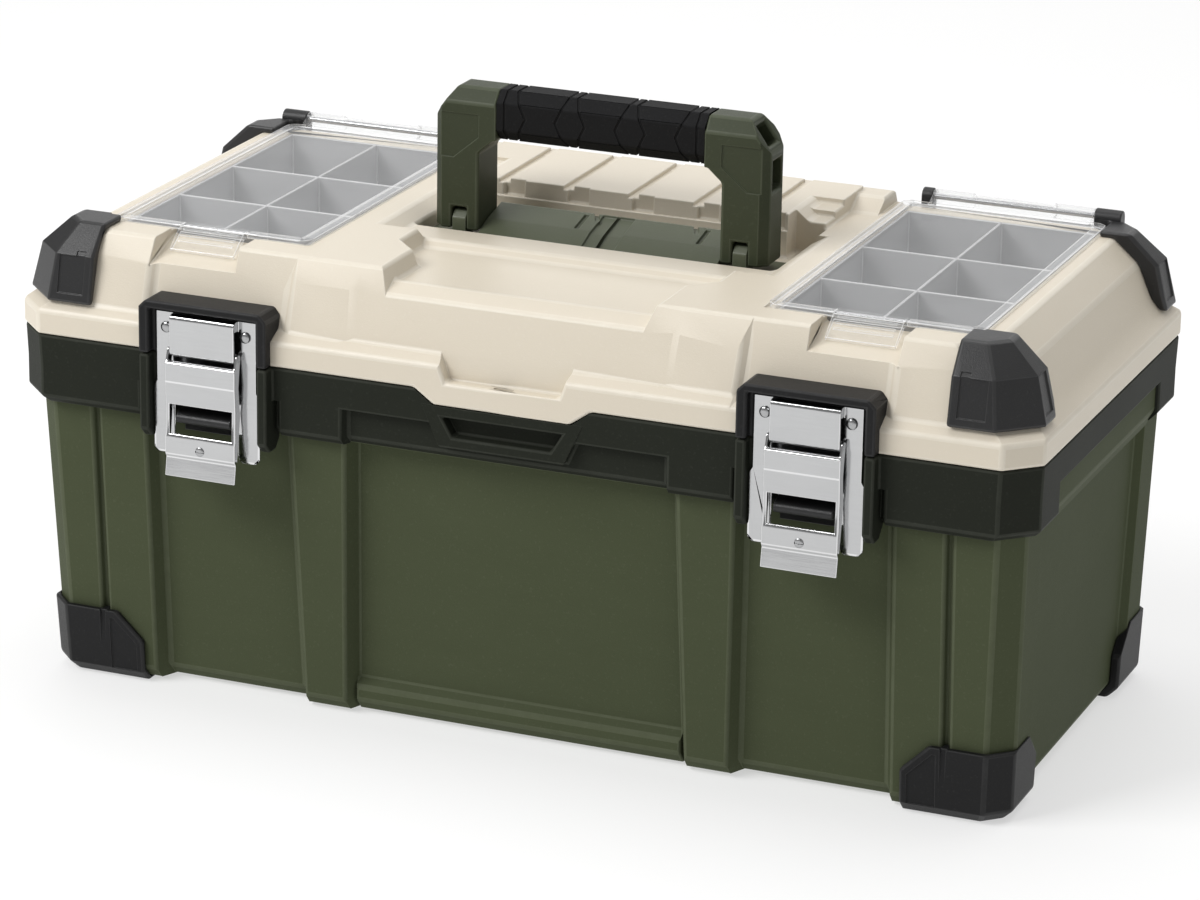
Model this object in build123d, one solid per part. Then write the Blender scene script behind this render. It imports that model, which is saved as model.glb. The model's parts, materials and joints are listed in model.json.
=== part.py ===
from build123d import *
from math import atan2, cos, degrees, hypot, pi, sin
import os

# Plastic tool box with two lid organisers, two steel draw latches and a folding handle.
# Millimetres, +Z up, front towards -Y, origin on the floor under the middle of the box.

# Overall sizes
box_length = 560.0          # lid flange, left to right
box_depth = 274.0           # lid flange, front to back
split_height = 193.0        # floor to the parting line of rim and lid
deck_rise = 54.5            # parting line to the flat top of the lid
corner_cut = 17.0           # chamfer on the upright corners of rim and lid
wall = 3.0                  # moulded wall
seam = 0.4                  # open joint between lid and rim
running = 0.05              # radial play of a pin in its bore
air = 0.4                   # play between pieces that move past each other
engraving = 0.8             # depth of the sunken panels on corner pieces and handle
overcut = 1.0               # how far a cutter stands out past the face it cuts
rod_facets = 16             # flats round a moulded barrel
head_facets = 10            # flats round a rivet or screw head

# Tub
tub_base = 1.5              # underside above the floor
tub_bevel_rise = 6.5
tub_bevel = 5.5
rim_drop = 38.0             # parting line to the underside of the rim
tub_inset = 10.0            # front and back of the tub behind the flange, just under the rim
tub_draft = 10.0            # further inset at the foot of the front
tub_rear_draft = 3.0        # the same at the foot of the back
tub_side = 8.5              # the same two insets of the sides
tub_side_draft = 4.0
tub_cut = 12.0              # chamfer on the tub's upright corners
collar_gap = 3.0            # top of the tub wall below the parting line
panel_recess = 10.0         # centre panel behind the pillars
bay_recess = 9.0            # latch bay behind the pillars
flank = 4.0                 # sideways run of a pillar's sloping flank
pillar_in = 91.4            # pillar edges, from the middle of the box
pillar_out = 122.3
pillar_taper = 3.7          # pillars get narrower by this on each flank
post_width = 74.0           # corner post, from the end of the flange
groove_end = 45.0           # groove in the corner post, from the end of the flange
groove_width = 4.0
groove_depth = 4.0
pilaster = 24.0             # raised strip beside each corner on the sides
side_recess = 4.5
ledge_rise = 21.0           # sill along the foot of the centre panel
ledge_out = 5.5
shoulder_inset = 3.5        # green shoulders under the rim on the sides
shoulder_drop = 5.0

# Rim band
tier_drop = 18.0            # height of the upper tier
rim_inset = 0.6
tier_inset = 1.2
tier_setback = 5.5          # lower tier's bays behind its pillars
tier_bevel = 4.0
tier_lap = 2.0              # lower tier's pillars wider than the tub's
corner_wrap = 30.0          # lower tier carried round onto the sides
dip_half = 48.6             # centre dip of the parting line, at its top
dip_floor = 37.5
dip_depth = 7.8
window_top = 33.0           # finger window, half widths
window_bottom = 27.0
window_high = 14.0          # below the parting line
window_low = 24.0
window_depth = 7.5
frame_top = 44.0            # frame round the finger window
frame_bottom = 34.0
frame_low = 30.0

# Lid shell
flange_rise = 13.0
foot_rise = 17.5            # top of the bevel above the flange
sweep_rise = 24.0           # top of the hollow sweep above that bevel on the sides
brow_drop = 12.0            # lower edge of the top chamfer, below the deck
foot_side = 6.0             # insets from the flange, sides
sweep_side = 11.0
brow_side = 19.0
deck_side = 33.0
foot_front = 6.0            # insets from the flange, front and back
sweep_front = 8.0
brow_front = 13.5
deck_front = 21.0
centre_back = 1.5           # centre wall behind the pillars
bay_back = 3.0              # latch bay behind the pillars
lid_pillar_in = 90.0        # from the middle of the box
lid_pillar_out = 122.0
lid_bay_end = 76.0          # outer end of the latch bay, from the end of the flange
lid_lip = 12.0              # flange width round the hollow underside
hollow_drop = 4.5           # top of the hollow below the deck
pocket_half = 37.0          # thumb pocket over the centre dip
pocket_floor_half = 31.0
pocket_rise = 4.5
pocket_depth = 7.5
tie_slot = 11.0             # oval slot for a padlock or tie

# Sunken rest, trench and ribbed block of the lid
recess_half = 75.0          # sunken rest in front of the handle
recess_wide = 88.0
recess_draft = 3.5          # spread of its side walls over its depth
recess_ridge = 28.0         # crest of its front edge, from the front of the flange
recess_ridge_run = 6.0
recess_neck = 58.0          # where it widens, from the front of the flange
recess_neck_run = 14.0
recess_lip = 27.0           # raised lip between rest and trench
recess_lip_run = 5.0
recess_mouth_drop = 16.0    # depths below the deck
recess_drop = 9.5
ridge_drop = 8.0
lip_drop = 5.5
trench_drop = 14.5
trench_ahead = 6.0          # trench in front of and behind the handle, and past its posts
trench_behind = 20.0
trench_room = 7.2
slope_run = 11.0            # sloping ends of trench and block
block_half = 88.0
block_height = 9.0          # above the deck
block_end = 30.0            # from the back of the flange
block_lean = 2.0
block_groove = 5.0
block_groove_depth = 2.2
block_groove_pitch = 37.0
block_notch = 12.0
crest_half = 121.0          # low crest across the back of the lid
crest_height = 7.0
crest_front = 52.0          # from the back of the flange
crest_end = 24.0
crest_run = 12.0
step_count = 3              # stairs beside the block
step_pitch = 14.0
step_set = 13.0             # first riser behind the trench
step_out = 17.0             # stairs past the block's flat top

# Corner pieces
bumper_width = 47.0         # from the end of the flange
bumper_back = 41.0          # end on the side, from the front of the flange
bumper_lift = 0.5           # lower levels above the lid's own edges
bumper_height = 3.5         # above the deck
bumper_side = (2.0, 8.0, 24.0)
bumper_front = (2.0, 7.0, 20.0)
bumper_cut = (20.0, 17.0, 9.0)
bumper_panel = 5.0          # margin round the sunken panels
guard_width = 68.0          # from the end of the flange
guard_front_leg = 64.0      # front guard's end on the side, from the front of the flange
guard_rear_leg = 61.0       # rear guard's end on the side, from the back of the flange
guard_rise = 39.0
guard_slant = 15.0
guard_proud = 3.5
guard_side_proud = 1.0
guard_bevel = 6.0
guard_groove = 3.0
guard_groove_depth = 1.5
guard_panel = 4.0           # margin round its sunken panel

# Lid hinge
hinge_end = 130.0           # middle of each hinge, from the end of the flange
hinge_offset = 5.4          # axis behind the flange
hinge_radius = 5.0
hinge_pin = 2.0
hinge_lid_width = 34.0
hinge_rim_width = 14.0
hinge_web = 13.0            # height of the web on the wall
hinge_shoulder = 0.7        # where the web leaves the barrel, share of its radius

# Draw latches
plate_half = 28.5
plate_wide = 30.3
plate_high = 22.7           # above the parting line
plate_low = 53.7            # below it
plate_step = 15.0
plate_step_run = 3.0
plate_round = 4.0
plate_slot = 18.0
plate_slot_high = 22.0
sheet = 1.2                 # latch steel
bezel_out = 36.3
bezel_in = 30.8
bezel_high = 29.0
bezel_proud = 7.0
bezel_bar = 4.5
bezel_cut = 4.0
leg_low = 46.0
leg_cut = 5.0
latch_pin = 1.5
latch_pivot_out = 4.4       # pivot in front of the flange
latch_pivot_rise = 3.0
strap_half = 18.4
strap_bend = 0.3            # middle of the strap's top bend, share of its radius
lever_half = 20.0
lever_lug = 2.4             # round of the cheeks about the pin
lever_reach = 5.0           # lever face in front of the pivot
lever_top = 4.4             # top edge of the lever's face, below the pivot
lever_crease = 15.5         # fold across the upper face, below the pivot
lever_low = 63.3            # below the parting line
lever_lip = 10.0
lever_window_high = 24.7
lever_window_low = 40.5
lever_window_edge = 2.0
lever_bow = 0.8             # how far the folds stand in or out of the face
lever_cheek = 2.0           # cheeks behind the pivot
rivet_x = 22.4
rivet_rise = 14.3
rivet_radius = 2.7
rivet_height = 1.5
rivet_dome = 0.75           # shoulder of its dome, share of radius and height
screw_drop = 48.0
screw_radius = 1.9
screw_height = 0.8
keeper_half = 15.5
keeper_drop = 33.0
keeper_radius = 2.6
keeper_set = 0.5            # hook behind the lever's pivot
keeper_plate = 9.0
keeper_thick = 2.5

# Lid organisers
organiser_in = 125.3        # inner edge of the cover, from the middle of the box
organiser_end = 41.3        # outer edge, from the end of the flange
cover_front = 40.0          # from the front of the flange
cover_end = 21.0            # from the back of the flange
cover_height = 2.0          # top of the cover above the deck
cover_thick = 3.0
cover_corner = 7.0
cover_bead = 1.4
cover_bead_width = 6.0
well_margin = 3.7           # well inside the cover, sides
well_margin_front = 6.0
well_margin_rear = 7.0
well_rise = 20.0            # floor of the well above the parting line
tray_wall = 1.6
tray_drop = 1.1             # tray below the underside of the cover
tray_rows = (0.3, 0.62)     # cross dividers, share of the tray's depth
rod_end = 15.5              # hinge rod, from the back of the flange
rod_height = 4.0            # above the deck
rod_radius = 1.6
barrel_radius = 4.0
barrel_waist = 3.2
barrel_head = 22.0          # length of the full barrel at each end
barrel_margin_in = 15.2     # barrel inside the cover's inner and outer edges
barrel_margin_out = 9.2
knuckle_width = 6.0
knuckle_radius = 4.3
knuckle_cap = 1.5
catch_shift = 2.0           # catch off the cover's middle, towards the handle
catch_half = 18.5
catch_pin = 0.9
catch_pin_ear = 5.0
catch_barrel = 2.4
catch_set = 3.5             # pivot behind the cover's front edge
catch_height = 0.5          # pivot above the deck
catch_reach = 18.0          # thumb tab in front of the pivot
catch_elbow = 13.0
catch_fall = 3.4            # heights of the tab's elbow and tip below the pivot
catch_tip_fall = 7.5
catch_ribs = 3
catch_rib_pitch = 3.0
catch_rib = 0.8             # half height of a rib
notch_half = 24.0
notch_front = 10.0          # lower edge of the catch notch, from the front of the flange
notch_drop = 14.5           # its depth below the deck there
notch_floor = 4.5           # and at the cover

# Handle
post_out = 93.8
post_thick = 25.8
handle_depth = 27.0
handle_shift = 1.5          # middle of the handle behind the middle of the box
handle_height = 69.5        # above the deck
handle_sink = 7.5           # feet of the posts below the deck
handle_cut = 12.0
handle_slope = 16.8         # height of the sloping shoulders
handle_edge = 4.8
handle_crown = 7.8
grip_inset = 9.7            # ends of the grip inside the inner faces of the posts
grip_height = 27.0
grip_chamfer = 6.0
grip_relief = 0.6
gusset_run = 2.0
gusset_share = 0.7
core = 16.0
pocket_cap = 8.0            # depth of the moulding pockets in the posts
pocket_length = 16.0
pocket_gap = 5.0
pivot_ahead = 5.5           # pivot behind the front of the posts
pivot_drop = 1.5            # below the deck
pivot_pin = 2.5
pivot_cap = 1.5             # plastic left over the inner end of a pin
pivot_seat = 6.0            # how far a pin reaches past its ear
ear_inset = 7.0             # ear inside the inner face of its post
ear_width = 8.0
ear_radius = 5.0
ear_round = 0.4             # flat of the ear's rounded top, share of its radius
base_play = 0.6
base_behind = 6.0           # back of the base behind the posts
base_front_drop = 7.0       # heights of the base's cover below the deck
base_crease_drop = 2.0
base_crease_back = 1.5      # crease behind the middle of the handle
base_height = 1.5
base_plate = 2.0
base_slots = (-10.0, 46.0)
base_slot_width = 2.4
base_slot_length = 24.0
base_slot_turn = 25.0
base_seam = 1.2

half_length = box_length / 2
half_depth = box_depth / 2
rim_bottom = split_height - rim_drop
tier_bottom = split_height - tier_drop
rim_top = split_height - seam
deck = split_height + deck_rise
brow_rise = deck_rise - brow_drop
collar_top = split_height - collar_gap
sky = deck + handle_height  # level that upward cuts run out to


def from_end(distance):
    """Sideways place of a distance measured in from the right end of the flange."""
    return half_length - distance


def from_front(distance):
    """Depth place of a distance measured back from the front of the flange."""
    return distance - half_depth


def from_back(distance):
    """Depth place of a distance measured forward from the back of the flange."""
    return half_depth - distance


def rise(height):
    """Height above the floor of a height above the parting line."""
    return split_height + height


post_in = from_end(post_width)
groove_x = from_end(groove_end)
latch_x = (pillar_out + post_in) / 2
latch_y = from_front(-latch_pivot_out)
latch_z = rise(latch_pivot_rise)
hinge_x = from_end(hinge_end)
hinge_y = from_back(-hinge_offset)
post_inner = post_out - post_thick
grip_half = post_inner - grip_inset
handle_front = handle_shift - handle_depth / 2
handle_back = handle_shift + handle_depth / 2
handle_top = deck + handle_height
handle_foot = deck - handle_sink
pivot_y = handle_front + pivot_ahead
pivot_z = deck - pivot_drop
ear_x = post_inner + ear_inset
pin_start = post_inner + pivot_cap
pin_stop = ear_x + ear_width + pivot_seat
trench_front = handle_front - trench_ahead
trench_back = handle_back + trench_behind
trench_half = post_out + trench_room
trench_floor = deck - trench_drop
cover_half = (from_end(organiser_end) - organiser_in) / 2
organiser_x = organiser_in + cover_half
cover_top = deck + cover_height
cover_under = cover_top - cover_thick
well_half = cover_half - well_margin
well_front = from_front(cover_front + well_margin_front)
well_back = from_back(cover_end + well_margin_rear)
tray_top = cover_under - tray_drop
barrel_start = organiser_in + barrel_margin_in
barrel_stop = from_end(organiser_end) - barrel_margin_out
rod_y = from_back(rod_end)
rod_z = deck + rod_height
catch_x = organiser_x - catch_shift
catch_y = from_front(cover_front + catch_set)
catch_z = deck + catch_height


def face(points):
    return make_face(Polyline(*points, close=True))


def flat_sides(corners):
    """The four-cornered face through these points, as two triangles where it is twisted."""
    a, b, c, d = (Vector(*corner) for corner in corners)
    normal = (b - a).cross(c - a)
    if abs(normal.dot(d - a)) < 1e-6 * normal.length:
        return [Face(Wire.make_polygon([a, b, c, d]))]
    return [Face(Wire.make_polygon([a, b, c])), Face(Wire.make_polygon([a, c, d]))]


def stack(levels):
    """Solid with flat sides through plan outlines, given as (height, points)."""
    rings = [[(x, y, z) for x, y in points] for z, points in levels]
    sides = []
    for low, high in zip(rings[:-1], rings[1:]):
        for here in range(len(low)):
            after = (here + 1) % len(low)
            sides += flat_sides([low[here], low[after], high[after], high[here]])
    caps = [Face(Wire.make_polygon([Vector(*p) for p in ring])) for ring in (rings[0], rings[-1])]
    return Part() + Solid(Shell(sides + caps))


def bar(points, x0, x1):
    """Prism along X of a side profile given as (depth, height) points."""
    return Pos(x0, 0, 0) * extrude(Plane.YZ * face(points), amount=x1 - x0)


def slab(points, y0, y1):
    """Prism along Y of a front profile given as (x, height) points."""
    return Pos(0, y1, 0) * extrude(Plane.XZ * face(points), amount=y1 - y0)


def block(x0, x1, y0, y1, z0, z1):
    middle = Pos((x0 + x1) / 2, (y0 + y1) / 2, (z0 + z1) / 2)
    return middle * Box(x1 - x0, y1 - y0, z1 - z0)


def rod(radius, x0, x1, y, z):
    """Round bar along X."""
    return Pos((x0 + x1) / 2, y, z) * Rot(0, 90, 0) * Cylinder(radius, x1 - x0)


def barrel(radius, x0, x1, y, z):
    """Many-sided moulded bar along X."""
    return Pos(x0, y, z) * Rot(0, 90, 0) * extrude(RegularPolygon(radius, rod_facets), amount=x1 - x0)


def ring(radius):
    """Plan outline of a many-sided disc."""
    turns = [2 * pi * step / head_facets for step in range(head_facets)]
    return [(radius * cos(turn), radius * sin(turn)) for turn in turns]


def both_sides(part):
    return part + mirror(part, about=Plane.YZ)


def all_round(quarter, rear_quarter=None):
    """Whole plan outline from its front right quarter, walked from the front to the side."""
    rear = rear_quarter or quarter
    right = quarter + [(x, -y) for x, y in reversed(rear)]
    return right + [(-x, y) for x, y in reversed(right)]


def cut_rectangle(side, front, cut):
    """Plan rectangle with cut corners, from its insets behind the flange."""
    x = half_length - side
    y = from_front(front)
    return all_round([(x - cut, y), (x, y + cut)])


def tub_quarter(side, depth, taper):
    x = half_length - side
    y = from_front(depth)
    near = pillar_in + taper
    far = pillar_out - taper
    groove = groove_width / 2
    edge = y + tub_cut + pilaster
    return [
        (near - flank, y + panel_recess), (near, y), (far, y),
        (far + flank, y + bay_recess), (post_in - flank, y + bay_recess), (post_in, y),
        (groove_x - groove, y), (groove_x - groove / 2, y + groove_depth),
        (groove_x + groove / 2, y + groove_depth), (groove_x + groove, y),
        (x - tub_cut, y), (x, y + tub_cut), (x, edge), (x - side_recess, edge + flank),
    ]


def tub_inner_quarter(side, depth, taper):
    """Inner face of the tub, one wall behind its pillars, panels, bays and posts."""
    x = half_length - side - side_recess - wall
    y = from_front(depth + wall)
    slip = wall * (hypot(flank, panel_recess) - flank) / panel_recess
    near = pillar_in + taper + slip
    far = pillar_out - taper - slip
    post = y + groove_depth
    return [
        (near - flank, y + panel_recess), (near, y), (far, y), (far + flank, y + bay_recess),
        (post_in - flank + slip, y + bay_recess), (post_in + slip, post),
        (x - tub_cut, post), (x, post + tub_cut),
    ]


def tub_outline(quarter, inset, share):
    """Plan outline of the tub at a share of its draft, further inset at the foot's bevel."""
    side = tub_side + tub_side_draft * share + inset
    taper = pillar_taper * share
    front = quarter(side, tub_inset + tub_draft * share + inset, taper)
    rear = quarter(side, tub_inset + tub_rear_draft * share + inset, taper)
    return all_round(front, rear)


def tub_sill(draft):
    """Ledge along the foot of the front panel."""
    panel = from_front(tub_inset + draft + panel_recess)
    bevel_top = tub_base + tub_bevel_rise
    return bar([
        (panel + wall, tub_base), (panel + tub_bevel - ledge_out, tub_base),
        (panel - ledge_out, bevel_top), (panel - ledge_out, ledge_rise - ledge_out),
        (panel + wall, ledge_rise + wall),
    ], -pillar_in, pillar_in)


def tub_shoulder():
    """Shoulder under the rim along the right side."""
    wrap = half_depth - corner_cut - corner_wrap
    inner = from_end(tub_side + wall)
    low_edge = rim_bottom - shoulder_drop
    return slab([
        (inner, low_edge), (from_end(tub_side), low_edge),
        (from_end(shoulder_inset), rim_bottom + shoulder_drop),
        (from_end(shoulder_inset), tier_bottom), (inner, tier_bottom),
    ], -wrap, wrap)


def tub_outer():
    body = stack([
        (tub_base, tub_outline(tub_quarter, tub_bevel, 1)),
        (tub_base + tub_bevel_rise, tub_outline(tub_quarter, 0, 1)),
        (rim_bottom, tub_outline(tub_quarter, 0, 0)),
    ])
    collar = cut_rectangle(tub_side, tub_inset, tub_cut)
    body += stack([(rim_bottom, collar), (collar_top, collar)])
    body += tub_sill(tub_draft) + mirror(tub_sill(tub_rear_draft), about=Plane.XZ)
    return body + both_sides(tub_shoulder())


def rim_mouth():
    return cut_rectangle(tub_side + wall, tub_inset + wall, tub_cut)


def tub(outer):
    floor = tub_base + wall
    step = rim_bottom + wall
    hollow = stack([
        (floor, tub_outline(tub_inner_quarter, tub_bevel, 1)),
        (floor + tub_bevel_rise, tub_outline(tub_inner_quarter, 0, 1)),
        (step, tub_outline(tub_inner_quarter, 0, 0)),
    ])
    hollow += stack([(step, rim_mouth()), (split_height, rim_mouth())])
    return outer - hollow


def dip_outline(play):
    """Front profile of the dip in the parting line, grown by a play."""
    low = split_height - dip_depth - play
    return [
        (-dip_half - play, split_height + wall), (-dip_half - play, split_height),
        (-dip_floor - play, low), (dip_floor + play, low),
        (dip_half + play, split_height), (dip_half + play, split_height + wall),
    ]


def rim_lower_quarter(inset):
    x = half_length - inset
    y = from_front(inset)
    side = y + corner_cut + corner_wrap
    bay = y + tier_setback
    return [
        (pillar_in - tier_lap - flank / 2, bay), (pillar_in - tier_lap, y),
        (pillar_out + tier_lap, y), (pillar_out + tier_lap + flank / 2, bay),
        (post_in - tier_lap - flank, bay), (post_in - tier_lap, y),
        (x - corner_cut, y), (x, y + corner_cut), (x, side), (x - tier_setback, side + flank / 2),
    ]


def finger_frame():
    low = rise(-frame_low)
    high = rise(-dip_depth)
    return slab([
        (-frame_top, high), (-frame_bottom, low), (frame_bottom, low), (frame_top, high),
    ], from_front(rim_inset), from_front(tub_inset))


def finger_window():
    low = rise(-window_low)
    high = rise(-window_high)
    return slab([
        (-window_top, high), (-window_bottom, low), (window_bottom, low), (window_top, high),
    ], from_front(-overcut), from_front(rim_inset + window_depth))


def at_latches(part):
    return Pos(latch_x, 0, 0) * part + Pos(-latch_x, 0, 0) * part


def latch_legs():
    """Uprights on the rim that carry on the lines of a latch bezel."""
    ahead = from_front(seam - bezel_proud)
    low = rise(-leg_low)
    return both_sides(bar([
        (ahead, rim_top), (ahead, low + leg_cut), (ahead + leg_cut, low),
        (from_front(tier_setback), low), (from_front(tub_inset), low + leg_cut),
        (from_front(tub_inset), rim_top),
    ], bezel_in, bezel_out))


def hinge_knuckle(x0, x1, up):
    """Hinge barrel with its web, above the parting line for the lid and below it for the rim."""
    root = from_back(wall)
    slope = hinge_radius * hinge_shoulder
    web = bar([
        (root, rise(up * seam)), (hinge_y, rise(up * seam)), (hinge_y + hinge_radius, split_height),
        (hinge_y + slope, rise(up * slope)), (half_depth, rise(up * hinge_web)),
        (root, rise(up * hinge_web)),
    ], x0, x1)
    web += barrel(hinge_radius, x0, x1, hinge_y, split_height)
    return web - rod(hinge_pin + running, x0 - overcut, x1 + overcut, hinge_y, split_height)


def at_hinges(part):
    return Pos(hinge_x, 0, 0) * part + Pos(-hinge_x, 0, 0) * part


def rim_band(outer):
    """Band round the mouth of the tub, cut to the tub's outside."""
    upper = stack([
        (tier_bottom, cut_rectangle(tier_inset, tier_inset, corner_cut)),
        (rim_top, cut_rectangle(rim_inset, rim_inset, corner_cut)),
    ])
    lower = stack([
        (rim_bottom, all_round(rim_lower_quarter(tier_inset + tier_bevel))),
        (rim_bottom + tier_bevel, all_round(rim_lower_quarter(tier_inset))),
        (tier_bottom, all_round(rim_lower_quarter(tier_inset))),
    ])
    band = upper + lower + finger_frame() + at_latches(latch_legs())
    band -= stack([(rim_bottom - overcut, rim_mouth()), (split_height, rim_mouth())])
    band -= outer
    band -= slab(dip_outline(seam), from_front(-overcut), from_front(tub_inset + wall + overcut))
    band -= finger_window()
    inner = hinge_lid_width / 2 + air
    return band + at_hinges(both_sides(hinge_knuckle(inner, inner + hinge_rim_width, -1)))


def lid_outline(side, front, centre, bay):
    x = half_length - side
    y = from_front(front)
    bay_out = from_end(lid_bay_end)
    right = [
        (lid_pillar_in - flank, y + centre), (lid_pillar_in, y), (lid_pillar_out, y),
        (lid_pillar_out + flank, y + bay), (bay_out - flank, y + bay), (bay_out, y),
        (x - corner_cut, y), (x, y + corner_cut), (x, -y - corner_cut), (x - corner_cut, -y),
    ]
    return right + [(-x, y) for x, y in reversed(right)]


def lid_outer():
    return stack([
        (split_height, lid_outline(0, 0, 0, 0)),
        (rise(flange_rise), lid_outline(0, 0, 0, 0)),
        (rise(foot_rise), lid_outline(foot_side, foot_front, centre_back, bay_back)),
        (rise(sweep_rise), lid_outline(sweep_side, sweep_front, centre_back, bay_back)),
        (rise(brow_rise), lid_outline(brow_side, brow_front, centre_back, bay_back)),
        (deck, lid_outline(deck_side, deck_front, 0, 0)),
    ])


def ribbed_block():
    """Raised block behind the handle, with grooves over its top and notches in its front wall."""
    top = deck + block_height
    back = from_back(block_end)
    wide = block_half + slope_run
    across = slab([
        (-wide, trench_floor), (-wide, deck), (-block_half, top), (block_half, top), (wide, deck),
        (wide, trench_floor),
    ], trench_back, back + flank)
    along = bar([
        (trench_back, trench_floor), (trench_back + block_lean, top), (back, top), (back + flank, deck),
        (back + flank, trench_floor),
    ], -wide, wide)
    solid = across & along
    for step in range(-2, 3):
        x = step * block_groove_pitch
        solid -= Pos(x, back, top) * Box(block_groove, box_depth, 2 * block_groove_depth)
        notch = Box(block_notch, 2 * flank, 2 * (block_height + trench_drop))
        solid -= Pos(x + block_notch / 2, trench_back, top) * notch
    return solid


def rear_crest():
    """Low crest across the back of the lid, between the organisers."""
    front = from_back(crest_front)
    back = from_back(crest_end)
    top = deck + crest_height
    return bar([
        (front, deck - wall), (front, deck), (front + crest_run, top), (back, top), (back + flank, deck),
        (back + flank, deck - wall),
    ], -crest_half, crest_half)


def side_steps():
    """Stairs that climb from the trench to the level of the block, past its right end."""
    stairs = []
    back = from_back(block_end)
    for count in range(step_count):
        y0 = trench_back + step_set + count * step_pitch
        top = deck + block_height * (count + 1) / step_count
        stairs.append(block(block_half - wall, block_half + step_out, y0, back, deck - overcut, top))
    return Part() + stairs


def stair_foot():
    """Corner of the trench in front of the right stairs."""
    return block(block_half, block_half + step_out, trench_back - overcut, trench_back + step_set,
                 trench_floor, sky)


def rest_plan(grow):
    neck = from_front(recess_neck)
    half = recess_half + grow
    wide = recess_wide + grow
    right = [
        (half, from_front(0)), (half, neck), (wide, neck + recess_neck_run), (wide, trench_front),
    ]
    return right + [(-x, y) for x, y in reversed(right)]


def handle_rest():
    """Sunken rest in front of the handle, open to the front and with flared ends."""
    crest = from_front(recess_ridge)
    lip = trench_front - recess_lip
    floor = deck - recess_drop
    lip_top = deck - lip_drop
    profile = bar([
        (from_front(0), deck - recess_mouth_drop),
        (from_front(brow_front + centre_back), rise(brow_rise)),
        (crest, deck - ridge_drop), (crest + recess_ridge_run, floor), (lip, floor),
        (lip + recess_lip_run, lip_top), (trench_front, lip_top), (trench_front, sky), (from_front(0), sky),
    ], -half_length, half_length)
    return profile & stack([
        (deck - 2 * recess_drop, rest_plan(-2 * recess_draft)),
        (deck + recess_drop, rest_plan(recess_draft)),
    ])


def trench():
    """Trench that takes the handle base, with sloping shoulders at both ends."""
    pit = block(-trench_half, trench_half, trench_front, trench_back, trench_floor, sky)
    ahead = trench_front - recess_lip
    y0 = ahead + recess_lip_run
    wide = trench_half + slope_run
    low = [(-trench_half, y0), (trench_half, y0), (trench_half, trench_back), (-trench_half, trench_back)]
    high = [(-wide, ahead), (wide, ahead), (wide, trench_back), (-wide, trench_back)]
    return pit + stack([(deck - lip_drop, low), (deck + overcut, high)])


def organiser_seat():
    """Rebate, well and catch notch for the right organiser."""
    side = cover_half + 2 * air
    front = from_front(cover_front - 2 * air)
    seat = block(organiser_x - side, organiser_x + side, front, half_depth, cover_under - air, sky)
    seat += block(organiser_x - well_half, organiser_x + well_half, well_front, well_back,
                  rise(well_rise), sky)
    lip = from_front(notch_front)
    sill = deck - notch_floor
    notch = bar([
        (lip, sky), (lip, deck - notch_drop), (from_front(cover_front), sill), (well_front + air, sill),
        (well_front + air, sky),
    ], catch_x - notch_half, catch_x + notch_half)
    return seat + notch


def thumb_pocket():
    floor = rise(pocket_rise)
    high = rise(foot_rise + wall)
    cut = slab([
        (-pocket_half, high), (-pocket_floor_half, floor), (pocket_floor_half, floor), (pocket_half, high),
    ], from_front(-overcut), from_front(pocket_depth))
    slot = extrude(SlotOverall(tie_slot, wall), amount=2 * flange_rise, both=True)
    return cut + Pos(0, from_front(pocket_depth / 2), split_height) * slot


def lid_tongue():
    """Tongue of the flange that fills the dip in the rim."""
    return slab(dip_outline(0), from_front(0), from_front(tub_inset))


def lid_hollow():
    """Hollow underside, one wall inside the lid and clear of wells, rest and trench."""
    low = cut_rectangle(lid_lip, lid_lip, corner_cut)
    brow = cut_rectangle(brow_side + wall + bay_back, brow_front + wall + bay_back, corner_cut)
    crown = cut_rectangle(deck_side + wall, deck_front + wall, corner_cut)
    hollow = stack([
        (split_height - dip_depth - overcut, low), (rise(foot_rise), low), (rise(brow_rise), brow),
        (deck - hollow_drop, crown),
    ])
    well_x = well_half + wall
    well = block(organiser_x - well_x, organiser_x + well_x, well_front - wall, well_back + wall,
                 rise(well_rise) - wall, sky)
    notch = block(catch_x - notch_half - wall, catch_x + notch_half + wall, from_front(0), well_front,
                  deck - notch_drop - wall, sky)
    rest_x = recess_wide + recess_draft + wall
    rest = block(-rest_x, rest_x, from_front(0), trench_front, deck - recess_drop - wall, sky)
    pit_x = trench_half + slope_run + wall
    pit_back = trench_back + step_set + wall
    pit = block(-pit_x, pit_x, trench_front - recess_lip, pit_back, trench_floor - wall, sky)
    hollow -= both_sides(well + notch) + rest + pit
    x = block_half - wall
    return hollow + block(-x, x, pit_back, from_back(block_end + wall), rise(brow_rise),
                          deck + block_height - block_groove_depth - wall)


def lid_shell():
    shell = lid_outer() + lid_tongue()
    shell -= trench()
    shell -= handle_rest()
    shell += ribbed_block() + rear_crest() + both_sides(side_steps())
    shell -= both_sides(stair_foot())
    shell -= both_sides(organiser_seat())
    shell -= thumb_pocket()
    shell -= lid_hollow()
    return shell + at_hinges(hinge_knuckle(-hinge_lid_width / 2, hinge_lid_width / 2, 1))


def bumper_body(inset):
    """Faceted corner of a bumper, drawn in by an inset on all its outer faces."""
    heights = (rise(foot_rise) + bumper_lift, rise(brow_rise) + bumper_lift, deck + bumper_height)
    levels = []
    for height, side, front, cut in zip(heights, bumper_side, bumper_front, bumper_cut):
        levels.append((height, cut_rectangle(side + inset, front + inset, cut)))
    return stack(levels)


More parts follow.
